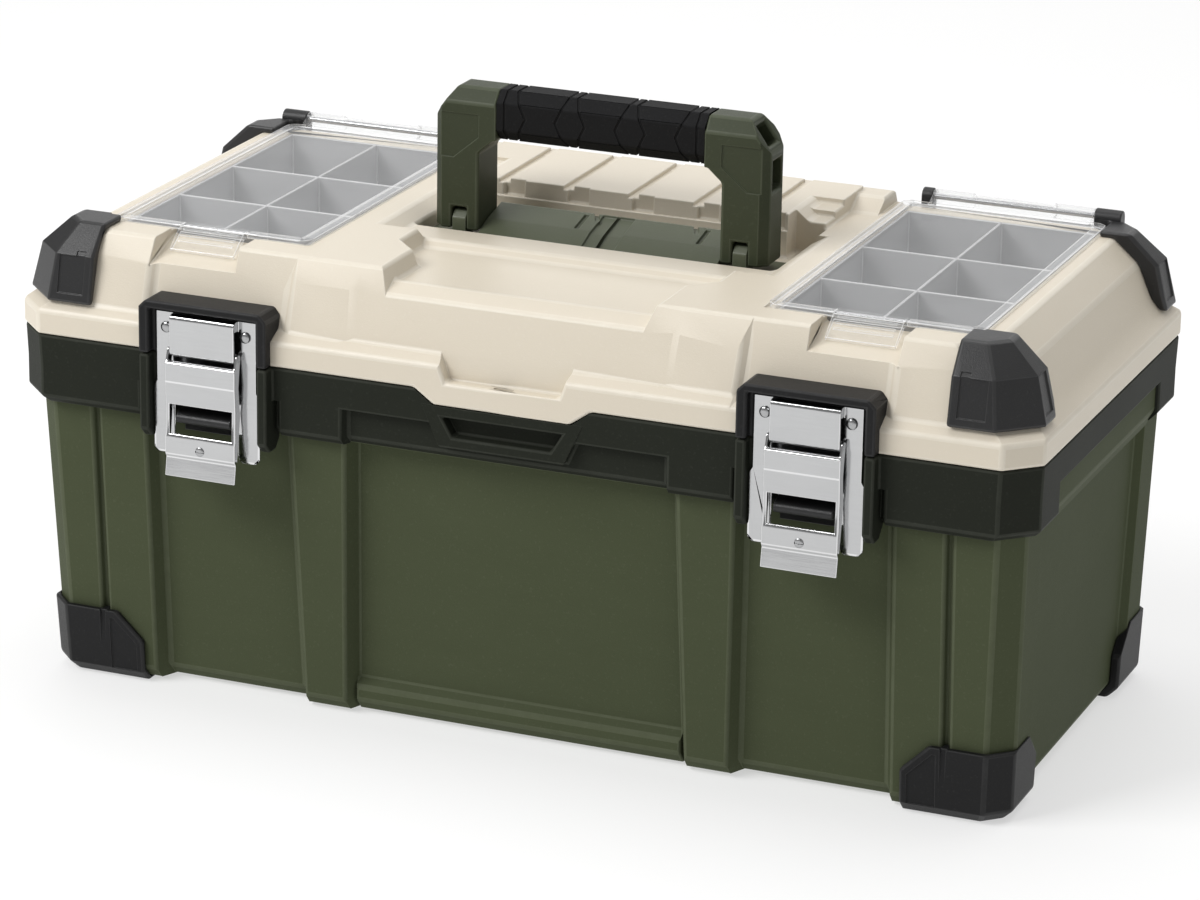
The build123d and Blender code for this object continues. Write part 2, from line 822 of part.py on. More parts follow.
def bumper_panels():
    """Outlines of the sunken panels in the front and side faces of a right bumper."""
    step = bumper_panel / 2
    low = rise(foot_rise) + bumper_lift + bumper_panel
    high = rise(brow_rise) + step
    x0 = from_end(bumper_width - bumper_panel)
    x1 = from_end(bumper_side[1] + bumper_cut[1] + step)
    front = slab([
        (x0, low), (x1, low), (x1, high - step), (x0 + 2 * step, high - step), (x0 + 2 * step, high),
        (x0, high),
    ], from_front(0), from_front(bumper_front[0] + bumper_front[1] + engraving))
    y0 = from_front(bumper_front[0] + bumper_cut[0] + step)
    y1 = from_front(bumper_back - bumper_panel)
    depth = bumper_side[0] + bumper_side[1] + engraving
    return front + block(from_end(depth), half_length, y0, y1, low, high - step)


def lid_bumper(cover_edge):
    """Faceted front right bumper, seated on the lid's corner and clear of a cover edge."""
    end = from_front(bumper_back)
    body = bumper_body(0)
    cap = body & bar([
        (from_front(0), split_height), (end - bumper_panel, split_height),
        (end, rise(foot_rise + 2 * bumper_panel)), (end, sky), (from_front(0), sky),
    ], from_end(bumper_width), half_length)
    cap -= bumper_panels() & (body - bumper_body(engraving))
    clear = organiser_x + cover_half + 2 * air
    cap -= block(0, clear, from_front(cover_edge - 2 * air), 0, cover_under - air, sky)
    return cap - lid_outer()


def rear_bumper():
    """Rear right bumper, with the outer knuckle of the organiser hinge."""
    cap = mirror(lid_bumper(cover_end), about=Plane.XZ)
    x0 = barrel_stop + air
    x1 = from_end(organiser_end - knuckle_width)
    lug = barrel(knuckle_radius, x0, x1, rod_y, rod_z)
    lug += block(x0, x1, rod_y - knuckle_radius, rod_y + knuckle_radius, rise(brow_rise), rod_z)
    return cap + (lug - lid_outer()) - rod(rod_radius, x0 - overcut, x1 - knuckle_cap, rod_y, rod_z)


def guard_body(draft, inset):
    """Corner of a guard round the foot of the tub, drawn in by an inset."""
    share = guard_rise / (rim_bottom - tub_base)
    front = tub_inset + draft - guard_proud + inset
    side = tub_side + tub_side_draft - guard_side_proud + inset
    return stack([
        (0, cut_rectangle(side + guard_bevel, front + guard_bevel, tub_cut - guard_bevel / 2)),
        (guard_bevel, cut_rectangle(side, front, tub_cut)),
        (guard_rise, cut_rectangle(side - tub_side_draft * share, front - draft * share, tub_cut)),
    ])


def guard_panel_outline():
    """Outline of the sunken panel between a guard's inner end and its groove."""
    x0 = from_end(guard_width - guard_panel)
    x1 = groove_x - guard_panel
    high = guard_rise - guard_panel
    half = guard_panel / 2
    return [
        (x0, guard_bevel), (x0, guard_rise - guard_slant - half), (x0 + guard_slant - half, high),
        (x1, high), (x1, guard_bevel),
    ]


def foot_guard(draft, leg):
    """Right corner guard for the foot of the tub, as at the front and not yet hollowed."""
    x0 = from_end(guard_width)
    end = from_front(leg)
    slant = guard_rise - guard_slant
    body = guard_body(draft, 0)
    guard = body & slab([
        (x0, 0), (x0, slant), (x0 + guard_slant, guard_rise), (half_length, guard_rise), (half_length, 0),
    ], from_front(0), 0)
    guard &= bar([
        (from_front(0), 0), (end, 0), (end, slant), (end - guard_slant, guard_rise),
        (from_front(0), guard_rise),
    ], 0, half_length)
    front = tub_inset + draft - guard_proud
    inner = tub_side + tub_side_draft - guard_side_proud + 4 * flank
    guard -= block(0, from_end(inner), from_front(front + 4 * flank), 0, -overcut, sky)
    groove = guard_groove / 2
    top_front = front - draft * guard_rise / (rim_bottom - tub_base)
    guard -= block(groove_x - groove, groove_x + groove, from_front(0),
                   from_front(top_front + guard_groove_depth), -overcut, sky)
    panel = slab(guard_panel_outline(), from_front(0), 0)
    return guard - (panel & (body - guard_body(draft, engraving)))


def latch_bezel():
    """Inverted U of the right latch, with the pad that carries the steel plate."""
    low = rise(air)
    high = rise(bezel_high)
    frame = slab([
        (-bezel_out, low), (-bezel_out, high - bezel_cut), (bezel_cut - bezel_out, high),
        (bezel_out - bezel_cut, high), (bezel_out, high - bezel_cut), (bezel_out, low),
    ], from_front(-bezel_proud), from_front(brow_front + bay_back))
    frame -= block(-bezel_in, bezel_in, from_front(-bezel_proud - overcut), from_front(-air),
                   split_height, high - bezel_bar)
    return Pos(latch_x, 0, 0) * frame - lid_outer()


def plate_sheet():
    """Flat sheet of the latch plate, stepped wider below and slotted from its lower edge."""
    low = rise(-plate_low)
    step = rise(-plate_step)
    right = [
        (plate_slot, rise(-plate_slot_high)), (plate_slot, low), (plate_wide, low),
        (plate_wide, step - plate_step_run), (plate_half, step), (plate_half, rise(plate_high)),
    ]
    outline = face(right + [(-x, z) for x, z in reversed(right)])
    rounded = fillet(outline.vertices().group_by(Axis.Y)[0], plate_round)
    return Pos(0, from_front(-air), 0) * extrude(Plane.XZ * rounded, amount=sheet)


def latch_plate():
    """Riveted back plate with the strap whose curl carries the lever pin."""
    high = rise(plate_high)
    curl = latch_pin + sheet
    strap_y = latch_y - curl
    seat = from_front(-air)
    roll = (seat - sheet - strap_y) / 2
    bend = roll * strap_bend
    strap = bar([
        (strap_y, latch_z), (strap_y, high - roll), (strap_y + bend, high - bend), (strap_y + roll, high),
        (seat, high), (seat, high - 2 * roll), (strap_y + sheet, high - 2 * roll), (strap_y + sheet, latch_z),
    ], -strap_half, strap_half)
    strap += barrel(curl, -strap_half, strap_half, latch_y, latch_z)
    bore = rod(latch_pin + running, -lever_half, lever_half, latch_y, latch_z)
    return Pos(latch_x, 0, 0) * (plate_sheet() + strap - bore)


def latch_rivets():
    head = Rot(90, 0, 0) * stack([
        (0, ring(rivet_radius)), (rivet_height * rivet_dome, ring(rivet_radius * rivet_dome)),
        (rivet_height, ring(rivet_radius / 2)),
    ])
    spot = Pos(latch_x, from_front(-air - sheet), rise(rivet_rise))
    return spot * both_sides(Pos(rivet_x, 0, 0) * head)


def lever_profile():
    """Side line of the lever's face from its top edge to the tip of the lip, as (depth, height)."""
    front = latch_y - lever_reach
    top = latch_z - lever_top
    window_high = rise(-lever_window_high)
    window_low = rise(-lever_window_low)
    heel = rise(lever_lip - lever_low)
    return [
        (front + sheet, top), (front, top - sheet), (front, latch_z - lever_crease),
        (front + lever_bow, window_high), (front + lever_bow / 2, window_low),
        (front - lever_bow / 2, window_low - lever_window_edge),
        (front - lever_bow / 2, heel + lever_window_edge), (front + lever_bow, heel),
        (front - lever_bow, rise(-lever_low)),
    ]


def lever_cheek_profile():
    """Outline of a cheek: the face's line in front, lobes at the pin and the window behind."""
    line = lever_profile()[:-1]
    behind = latch_y + lever_cheek
    window_high = rise(-lever_window_high)
    heel = line[-1][1]
    return line + [
        (behind - 2 * lever_cheek, heel + lever_window_edge),
        (behind - lever_cheek, rise(-lever_window_low)), (behind, window_high - lever_cheek),
        (behind - lever_cheek / 2, window_high + lever_cheek),
        (behind - lever_cheek, latch_z - lever_crease), (behind - lever_cheek / 4, latch_z - lever_top),
        (latch_y + lever_lug, latch_z), (latch_y - lever_lug, latch_z),
    ]


def latch_lever():
    """Sheet lever: stepped face with a window, side cheeks round the pin and a turned-out lip."""
    path = lever_profile()
    lever = bar(path + [(y + sheet, z) for y, z in reversed(path)], -lever_half, lever_half)
    opening = lever_half - sheet - lever_window_edge / 2
    lever -= block(-opening, opening, latch_y - 2 * lever_reach, latch_y, rise(-lever_window_low),
                   rise(-lever_window_high))
    cheek = bar(lever_cheek_profile(), lever_half - sheet, lever_half)
    cheek += barrel(lever_lug, lever_half - sheet, lever_half, latch_y, latch_z)
    lever += both_sides(cheek)
    lever -= rod(latch_pin + running, -lever_half - overcut, lever_half + overcut, latch_y, latch_z)
    return Pos(latch_x, 0, 0) * lever


def latch_pin_rod():
    return rod(latch_pin, latch_x - lever_half, latch_x + lever_half, latch_y, latch_z)


def lever_screw():
    seat = latch_y - lever_reach - lever_bow / 2
    crown = screw_radius - screw_height / 2
    head = Rot(90, 0, 0) * stack([(0, ring(screw_radius)), (screw_height, ring(crown))])
    head -= Pos(0, -screw_height, 0) * Box(3 * screw_radius, screw_height, screw_radius / 3)
    return Pos(latch_x, seat, rise(-screw_drop)) * head


def keeper(rim):
    """Hooked bar on the rim that shows through the lever's window."""
    seat = from_front(tier_inset + tier_setback)
    plate = seat - keeper_thick
    y = latch_y + keeper_set
    z = rise(-keeper_drop)
    arm = bar([
        (seat, z - keeper_plate), (seat, z + keeper_plate), (plate, z + keeper_plate),
        (plate, z + 2 * keeper_radius), (y, z + keeper_radius), (y, z), (plate, z - 2 * keeper_radius),
        (plate, z - keeper_plate),
    ], -keeper_half, keeper_half)
    return Pos(latch_x, 0, 0) * (arm + barrel(keeper_radius, -keeper_half, keeper_half, y, z)) - rim


def tray_spans(low, high, cuts):
    """Clear spans between a tray's outer walls and the dividers at these places."""
    half = tray_wall / 2
    starts = [low + tray_wall] + [cut + half for cut in cuts]
    stops = [cut - half for cut in cuts] + [high - tray_wall]
    return list(zip(starts, stops))


def organiser_tray():
    x = well_half - air
    y0 = well_front + air
    y1 = well_back - air
    floor = rise(well_rise)
    tray = block(-x, x, y0, y1, floor, tray_top)
    rows = [y0 + (y1 - y0) * share for share in tray_rows]
    for front, back in tray_spans(y0, y1, rows):
        for left, right in tray_spans(-x, x, [0.0]):
            tray -= block(left, right, front, back, floor + tray_wall, sky)
    return Pos(organiser_x, 0, 0) * tray


def cover_barrel():
    """Hinge barrel at the back of the right cover: full at both ends, slimmer between, on a web."""
    root = from_back(cover_end)
    web = bar([
        (root - cover_bead_width, cover_under), (root, cover_under), (rod_y, rod_z - barrel_waist),
        (rod_y, rod_z + barrel_waist), (rod_y - barrel_waist / 2, rod_z + barrel_waist),
        (root - cover_bead_width, cover_top),
    ], barrel_start, barrel_stop)
    web += barrel(barrel_waist, barrel_start, barrel_stop, rod_y, rod_z)
    web += barrel(barrel_radius, barrel_start, barrel_start + barrel_head, rod_y, rod_z)
    return web + barrel(barrel_radius, barrel_stop - barrel_head, barrel_stop, rod_y, rod_z)


def organiser_lid():
    """Clear cover with a raised bead, hinge barrel at the back and room for the catch."""
    y0 = from_front(cover_front)
    y1 = from_back(cover_end)
    middle = Pos(organiser_x, (y0 + y1) / 2, cover_top)
    inside = 2 * cover_bead_width
    outline = RectangleRounded(2 * cover_half, y1 - y0, cover_corner)
    inner = RectangleRounded(2 * cover_half - inside, y1 - y0 - inside, cover_corner / 2)
    cover = middle * extrude(outline, amount=-cover_thick)
    cover -= middle * extrude(inner, amount=-cover_bead)
    side = catch_half + air
    cover -= block(catch_x - side, catch_x + side, y0 - overcut, catch_y + catch_barrel + 2 * air,
                   cover_under - overcut, sky)
    cover += cover_barrel()
    cover -= rod(rod_radius + running, barrel_start - overcut, barrel_stop + overcut, rod_y, rod_z)
    return cover - organiser_catch_pin()


def organiser_knuckle():
    """Inner knuckle of the right organiser's hinge, seated on the lid's rear edge."""
    x1 = barrel_start - air
    x0 = x1 - knuckle_width
    lug = barrel(knuckle_radius, x0, x1, rod_y, rod_z)
    lug += block(x0, x1, rod_y - knuckle_radius, rod_y + knuckle_radius, rise(brow_rise), rod_z)
    lug -= rod(rod_radius, x0 + knuckle_cap, x1 + overcut, rod_y, rod_z)
    return lug - lid_outer()


def organiser_rod():
    x0 = barrel_start - air - knuckle_width + knuckle_cap
    x1 = from_end(organiser_end - knuckle_width) - knuckle_cap
    return rod(rod_radius, x0, x1, rod_y, rod_z)


def organiser_catch():
    """Clear catch that swings on the front edge of the cover, with a ribbed thumb tab."""
    thin = catch_barrel * 2 / 3
    shoulder = catch_reach / 3
    tip = catch_z - catch_tip_fall
    tab = bar([
        (catch_y, catch_z + catch_barrel), (catch_y - shoulder, catch_z + thin),
        (catch_y - catch_elbow, catch_z - catch_fall), (catch_y - catch_reach, tip),
        (catch_y - catch_reach + overcut, tip - thin),
        (catch_y - catch_elbow + overcut, catch_z - catch_fall - 2 * thin + air),
        (catch_y - shoulder + overcut, catch_z - thin), (catch_y, catch_z - catch_barrel + air),
    ], -catch_half, catch_half)
    tab += rod(catch_barrel, -catch_half, catch_half, catch_y, catch_z)
    half = catch_half - catch_rib_pitch
    slope = (thin + catch_fall) / (catch_elbow - shoulder)
    for step in range(catch_ribs):
        ahead = catch_rib_pitch * (step + 0.5)
        y = catch_y - shoulder - ahead
        z = catch_z + thin - ahead * slope
        tab += bar([
            (y - catch_rib, z), (y, z + catch_rib), (y + catch_rib, z), (y, z - catch_rib),
        ], -half, half)
    tab -= rod(catch_pin + running, -catch_half - overcut, catch_half + overcut, catch_y, catch_z)
    return Pos(catch_x, 0, 0) * tab


def organiser_catch_pin():
    ear = catch_half + catch_pin_ear
    return rod(catch_pin, catch_x - ear, catch_x + ear, catch_y, catch_z)


def post_pockets():
    """Moulding pockets in the outer faces and the sunken panel in the front of the right post."""
    half = handle_depth / 4
    shoulder = handle_top - handle_slope
    side = block(post_out - pocket_cap, post_out + overcut, handle_shift - half, handle_shift + half,
                 shoulder - pocket_gap - pocket_length, shoulder - pocket_gap)
    corner = Pos(post_out - handle_cut / 2, handle_shift, handle_top - handle_slope / 2)
    tilt = degrees(atan2(handle_slope, handle_cut))
    slope = corner * Rot(0, tilt, 0) * Box(handle_cut, 2 * half, 2 * pocket_cap)
    edge = post_out - handle_edge - engraving
    high = handle_top - handle_crown - grip_chamfer
    mid = high - handle_cut
    panel = slab([
        (post_inner, high), (post_out, high), (post_out, mid - handle_cut),
        (edge - grip_chamfer, mid - handle_cut), (post_inner, mid),
    ], handle_front - overcut, handle_front + engraving)
    return side + slope + panel


def ear_slot():
    """Slot in the foot of the right post, with room for the base's ear to swing."""
    room = hypot(ear_radius, ear_radius * ear_round) + 2 * air
    return block(ear_x - air, ear_x + ear_width + air, handle_front - overcut, pivot_y + room,
                 handle_foot - overcut, pivot_z + room)


def handle_frame():
    """Two posts joined by the core bar under the grip, chamfered and lightened by pockets."""
    low = handle_top - grip_height
    gusset = low - (post_inner - grip_half) * gusset_share
    posts = both_sides(slab([
        (grip_half, handle_top), (post_out - handle_cut, handle_top), (post_out, handle_top - handle_slope),
        (post_out, handle_foot), (post_inner, handle_foot), (post_inner, gusset),
        (grip_half + gusset_run, low), (grip_half, low),
    ], handle_front, handle_back))
    brow = handle_top - handle_crown
    posts &= bar([
        (handle_front, handle_foot), (handle_front, brow), (handle_front + grip_chamfer, handle_top),
        (handle_back - grip_chamfer, handle_top), (handle_back, brow), (handle_back, handle_foot),
    ], -post_out, post_out)
    edge = post_out - handle_edge
    right = [
        (edge, handle_front), (post_out, handle_front + handle_edge), (post_out, handle_back - handle_edge),
        (edge, handle_back),
    ]
    plan = right + [(-x, y) for x, y in reversed(right)]
    posts &= stack([(handle_foot, plan), (handle_top, plan)])
    middle = Pos(0, handle_shift, handle_top - grip_height / 2)
    frame = posts + middle * Box(2 * grip_half + gusset_run, core, core)
    hole = rod(pivot_pin + running, pin_start - air, pin_stop + air, pivot_y, pivot_z)
    return frame - both_sides(hole + ear_slot() + post_pockets())


def handle_grip():
    """Rubber sleeve over the core bar."""
    y0 = handle_front + grip_relief
    y1 = handle_back - grip_relief
    low = handle_top - grip_height
    section = face([
        (y0, low + grip_chamfer), (y0, handle_top - grip_chamfer), (y0 + grip_chamfer, handle_top),
        (y1 - grip_chamfer, handle_top), (y1, handle_top - grip_chamfer), (y1, low + grip_chamfer),
        (y1 - grip_chamfer, low), (y0 + grip_chamfer, low),
    ])
    section = fillet(section.vertices(), grip_chamfer / 2)
    sleeve = extrude(Plane.YZ * section, amount=grip_half, both=True)
    middle = Pos(0, handle_shift, handle_top - grip_height / 2)
    return sleeve - middle * Box(4 * grip_half, core, core)


def base_crown(y0, y1, depth):
    """Top line of the base's cover from front to back, sunk by a depth."""
    low = deck - base_front_drop - depth
    high = deck + base_height - depth
    crease = handle_shift + base_crease_back
    return [
        (y0, low), (y0 + wall, low + overcut), (crease, deck - base_crease_drop - depth), (y1 - wall, high),
        (y1, high - overcut),
    ]


def base_ear():
    """Upright of the base that stands in the slot of the right post and carries its pin."""
    flat = ear_radius * ear_round
    return bar([
        (pivot_y - ear_radius, trench_floor), (pivot_y - ear_radius, pivot_z + flat),
        (pivot_y - flat, pivot_z + ear_radius), (pivot_y + flat, pivot_z + ear_radius),
        (pivot_y + ear_radius, pivot_z + flat), (pivot_y + ear_radius, trench_floor),
    ], ear_x, ear_x + ear_width)


def handle_base():
    """Cover in the trench between the posts, with an ear for each pivot."""
    y0 = trench_front + base_play
    y1 = handle_back + base_behind
    wide = trench_half - base_play
    end = post_inner - air
    low = deck - base_front_drop
    high = deck + base_height
    base = block(-wide, wide, y0, y1, trench_floor, trench_floor + base_plate)
    base += block(-wide, wide, y0, y0 + wall, trench_floor, low)
    base += bar([(y0, trench_floor)] + base_crown(y0, y1, 0) + [(y1, trench_floor)], -end, end)
    base -= bar([(y0, sky)] + base_crown(y0, y1, engraving) + [(y1, sky)], -base_seam / 2, base_seam / 2)
    base += both_sides(base_ear())
    for x in base_slots:
        slot = Rot(0, 0, base_slot_turn) * Box(base_slot_width, base_slot_length, 2 * base_plate)
        base -= Pos(x, y1 - base_slot_length / 3, high) * slot
    return base - both_sides(rod(pivot_pin, ear_x - overcut, ear_x + ear_width + overcut, pivot_y, pivot_z))


def handle_pin():
    return rod(pivot_pin, pin_start, pin_stop, pivot_y, pivot_z)


def hinge_pin_rod():
    half = hinge_lid_width / 2 + air + hinge_rim_width
    return rod(hinge_pin, hinge_x - half, hinge_x + half, hinge_y, split_height)


def right_hand_pieces(outer, rim):
    """Pieces made once for the right side and mirrored to the left."""
    return {
        "foot_guard_front": foot_guard(tub_draft, guard_front_leg) - outer,
        "foot_guard_rear": mirror(foot_guard(tub_rear_draft, guard_rear_leg), about=Plane.XZ) - outer,
        "lid_bumper_front": lid_bumper(cover_front),
        "lid_bumper_rear": rear_bumper(),
        "latch_bezel": latch_bezel(),
        "latch_plate": latch_plate(),
        "latch_rivets": latch_rivets(),
        "latch_lever": latch_lever(),
        "latch_pin": latch_pin_rod(),
        "lever_screw": lever_screw(),
        "keeper": keeper(rim),
        "organiser_tray": organiser_tray(),
        "organiser_lid": organiser_lid(),
        "organiser_knuckle": organiser_knuckle(),
        "organiser_rod": organiser_rod(),
        "organiser_catch": organiser_catch(),
        "organiser_catch_pin": organiser_catch_pin(),
        "handle_pin": handle_pin(),
        "lid_hinge_pin": hinge_pin_rod(),
    }


def all_pieces():
    outer = tub_outer()
    rim = rim_band(outer)
    pieces = {
        "tub": tub(outer),
        "rim_band": rim,
        "lid_shell": lid_shell(),
        "handle_frame": handle_frame(),
        "handle_grip": handle_grip(),
        "handle_base": handle_base(),
    }
    for name, part in right_hand_pieces(outer, rim).items():
        pieces[name + "_right"] = part
        pieces[name + "_left"] = mirror(part, about=Plane.YZ)
    return pieces


os.makedirs("parts", exist_ok=True)
for name, part in all_pieces().items():
    export_step(part, f"parts/{name}.step")
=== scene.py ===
import bmesh
import bpy
import json
import math
from mathutils import Matrix, Vector
from mathutils.bvhtree import BVHTree


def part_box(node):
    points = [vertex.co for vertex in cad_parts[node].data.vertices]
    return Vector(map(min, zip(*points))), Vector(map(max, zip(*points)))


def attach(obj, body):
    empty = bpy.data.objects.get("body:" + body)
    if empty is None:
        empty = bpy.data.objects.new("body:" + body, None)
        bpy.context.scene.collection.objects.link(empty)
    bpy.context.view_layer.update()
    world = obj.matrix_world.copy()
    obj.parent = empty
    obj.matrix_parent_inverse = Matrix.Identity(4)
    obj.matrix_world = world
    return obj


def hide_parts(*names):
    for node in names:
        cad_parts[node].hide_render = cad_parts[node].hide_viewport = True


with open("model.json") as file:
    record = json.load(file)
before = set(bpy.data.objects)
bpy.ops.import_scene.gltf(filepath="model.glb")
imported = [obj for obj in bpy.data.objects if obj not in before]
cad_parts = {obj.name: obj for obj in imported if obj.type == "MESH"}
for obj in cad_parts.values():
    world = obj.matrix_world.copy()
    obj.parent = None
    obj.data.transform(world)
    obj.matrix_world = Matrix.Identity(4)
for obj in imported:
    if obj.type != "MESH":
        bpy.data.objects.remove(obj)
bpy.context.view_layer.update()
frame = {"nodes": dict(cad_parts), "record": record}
nodes = frame["nodes"]
record = frame["record"]
bodyOf = {node: body for body, members in record["behaviour"]["bodies"].items() for node in members}
slotOf = {part["node"]: part["material_slot"] for part in record["subparts"]}
sides = ("left", "right")
millimetre = 0.001   # the scene is in metres
print("stage: frame loaded,", len(nodes), "nodes")

# selecting and sorting


def selectOnly(piece):
    bpy.ops.object.select_all(action="DESELECT")
    piece.select_set(True)
    bpy.context.view_layer.objects.active = piece


def selectFaces(piece, wanted):
    # in edit mode, the faces that pass a test on the face and its middle
    bpy.ops.mesh.select_mode(type="FACE")
    bpy.ops.mesh.select_all(action="DESELECT")
    shape = bmesh.from_edit_mesh(piece.data)
    for face in shape.faces:
        if wanted(face, face.calc_center_median()):
            face.select_set(True)
    bmesh.update_edit_mesh(piece.data)


def fixOrder(piece):
    # an extrusion leaves its faces in no set order; sorted by place, the mesh is the same in every run
    mesh = piece.data
    points = [tuple(point.co) for point in mesh.vertices]
    order = sorted(range(len(points)), key=lambda index: points[index])
    rank = {index: at for at, index in enumerate(order)}
    faces = []
    for face in mesh.polygons:
        corners = [rank[index] for index in face.vertices]
        first = corners.index(min(corners))
        faces.append(corners[first:] + corners[:first])
    mesh.clear_geometry()
    mesh.from_pydata([points[index] for index in order], [], sorted(faces))


# camera, lights and floor

cameraView = {
    "azimuth": 21.94, "elevation": 18.582, "roll": 1.042,   # degrees
    "place": (0.8995, -2.2357, 0.9351), "farthest": 100,    # metres
    "lens": 143.59, "sensor": 36.0,                         # millimetres
}
studio = {
    "floorColour": (0.46, 0.46, 0.458), "floorShade": (0.44, 0.44, 0.437), "floorMix": 0.3,
    "floorCloud": 1.2, "floorRoughness": 0.75, "cloudRough": 0.1, "floorGloss": 0.1,
    "floorGlow": 0.55, "floorSize": 30.0,
    "worldColour": (1.0, 1.0, 1.0), "worldStrength": 0.29,
    "lights": [
        # name, place, aimed at, size, size across, watts
        ("keyLight", (-1.5, -1.7, 2.1), (0.0, 0.0, 0.15), 1.7, 1.2, 61),
        ("topLight", (0.0, 0.5, 2.3), (0.0, 0.0, 0.2), 2.4, 1.6, 27),
        ("backLight", (-0.6, 2.9, 1.3), (0.0, 0.0, 0.25), 3.6, 1.8, 19),
        ("sideLight", (2.3, -0.3, 1.1), (0.0, 0.0, 0.15), 1.4, 1.2, 3.2),
    ],
}


def makeCamera(look):
    azimuth, elevation, roll = (math.radians(look[key]) for key in ("azimuth", "elevation", "roll"))
    back = Vector((math.sin(azimuth) * math.cos(elevation), -math.cos(azimuth) * math.cos(elevation),
                   math.sin(elevation)))
    right = Vector((0, 0, 1)).cross(back).normalized()
    up = back.cross(right)
    turned = right * math.cos(roll) + up * math.sin(roll)
    upright = up * math.cos(roll) - right * math.sin(roll)
    camera = bpy.data.objects.new("photoCamera", bpy.data.cameras.new("photoCamera"))
    bpy.context.scene.collection.objects.link(camera)
    turn = Matrix((turned, upright, back)).transposed().to_4x4()
    camera.matrix_world = Matrix.Translation(look["place"]) @ turn
    camera.data.sensor_fit = "HORIZONTAL"
    camera.data.sensor_width = look["sensor"]
    camera.data.lens = look["lens"]
    camera.data.clip_end = look["farthest"]
    bpy.context.scene.camera = camera


def makeStudio(look):
    for name, place, aim, size, across, watts in look["lights"]:
        light = bpy.data.lights.new(name, "AREA")
        light.shape = "RECTANGLE"
        light.size = size
        light.size_y = across
        light.energy = watts
        lamp = bpy.data.objects.new(name, light)
        bpy.context.scene.collection.objects.link(lamp)
        lamp.location = place
        lamp.rotation_euler = (Vector(aim) - Vector(place)).to_track_quat("-Z", "Y").to_euler()
    world = bpy.data.worlds.new("studioWorld")
    bpy.context.scene.world = world
    world.use_nodes = True
    sky = world.node_tree.nodes["Background"]
    sky.inputs["Color"].default_value = (*look["worldColour"], 1)
    sky.inputs["Strength"].default_value = look["worldStrength"]
    bpy.context.scene.view_settings.view_transform = "Standard"


def makeFloor(look):
    bpy.ops.object.select_all(action="DESELECT")
    bpy.ops.mesh.primitive_plane_add(size=look["floorSize"], location=(0, 0, 0))
    floor = bpy.context.active_object
    floor.name = "studioFloor"
    return floor


makeCamera(cameraView)
makeStudio(studio)
floor = makeFloor(studio)
print("stage: camera and lights")

# materials


class Value:
    # a shader socket that takes part in Python maths
    def __init__(self, finish, socket):
        self.finish = finish
        self.socket = socket

    def maths(self, operation, first, second):
        made = self.finish.node("ShaderNodeMath", {"operation": operation}, {0: first, 1: second})
        return self.finish.out(made)

    def __add__(self, other):
        return self.maths("ADD", self, other)

    def __sub__(self, other):
        return self.maths("SUBTRACT", self, other)

    def __mul__(self, other):
        return self.maths("MULTIPLY", self, other)

    def __pow__(self, other):
        return self.maths("POWER", self, other)

    def __radd__(self, other):
        return self.maths("ADD", other, self)

    def __rsub__(self, other):
        return self.maths("SUBTRACT", other, self)

    def __rmul__(self, other):
        return self.maths("MULTIPLY", other, self)

    def __rpow__(self, other):
        return self.maths("POWER", other, self)


class Finish:
    # one material and the nodes that make it
    def __init__(self, name):
        self.material = bpy.data.materials.new(name)
        self.material.use_nodes = True
        self.tree = self.material.node_tree
        self.tree.nodes.clear()
        self.place = self.out(self.node("ShaderNodeTexCoord"), "Object")

    def node(self, kind, settings=None, sockets=None):
        made = self.tree.nodes.new(kind)
        for key, value in (settings or {}).items():
            if key == "stops":
                self.setStops(made.color_ramp, value)
            else:
                setattr(made, key, value)
        for key, value in (sockets or {}).items():
            if isinstance(value, Value):
                self.tree.links.new(value.socket, made.inputs[key])
            else:
                made.inputs[key].default_value = value
        return made

    def setStops(self, ramp, stops):
        while len(ramp.elements) < len(stops):
            ramp.elements.new(0.5)
        for element, (position, level) in zip(ramp.elements, stops):
            element.position = position
            element.color = (level, level, level, 1)

    def out(self, made, output=0):
        return Value(self, made.outputs[output])

    def noise(self, scale, detail=3.0, rough=0.5, stretch=None):
        place = self.place
        if stretch:
            place = self.out(self.node("ShaderNodeMapping", None, {"Vector": place, "Scale": stretch}))
        made = self.node("ShaderNodeTexNoise", {"noise_dimensions": "3D"}, {
            "Vector": place, "Scale": scale, "Detail": detail, "Roughness": rough})
        return self.out(made, "Fac")

    def swing(self, noise, amount):
        # either way of the noise's mean
        return (noise - 0.5) * amount

    def step(self, value, stops):
        return self.out(self.node("ShaderNodeValToRGB", {"stops": stops}, {"Fac": value}))

    def attribute(self, name):
        return self.out(self.node("ShaderNodeAttribute", {"attribute_name": name}), "Fac")

    def blendColours(self, factor, first, second):
        settings = {"data_type": "RGBA", "clamp_factor": True}
        first = first if isinstance(first, Value) else (*first, 1)
        second = second if isinstance(second, Value) else (*second, 1)
        return self.out(self.node("ShaderNodeMix", settings, {0: factor, 6: first, 7: second}), 2)

    def bump(self, height, strength, distance, under=None):
        sockets = {"Height": height, "Strength": strength, "Distance": distance}
        if under:
            sockets["Normal"] = under
        return self.out(self.node("ShaderNodeBump", None, sockets), "Normal")

    def surface(self, sockets):
        shader = self.node("ShaderNodeBsdfPrincipled", None, sockets)
        end = self.node("ShaderNodeOutputMaterial")
        self.tree.links.new(shader.outputs[0], end.inputs["Surface"])
        return self.material


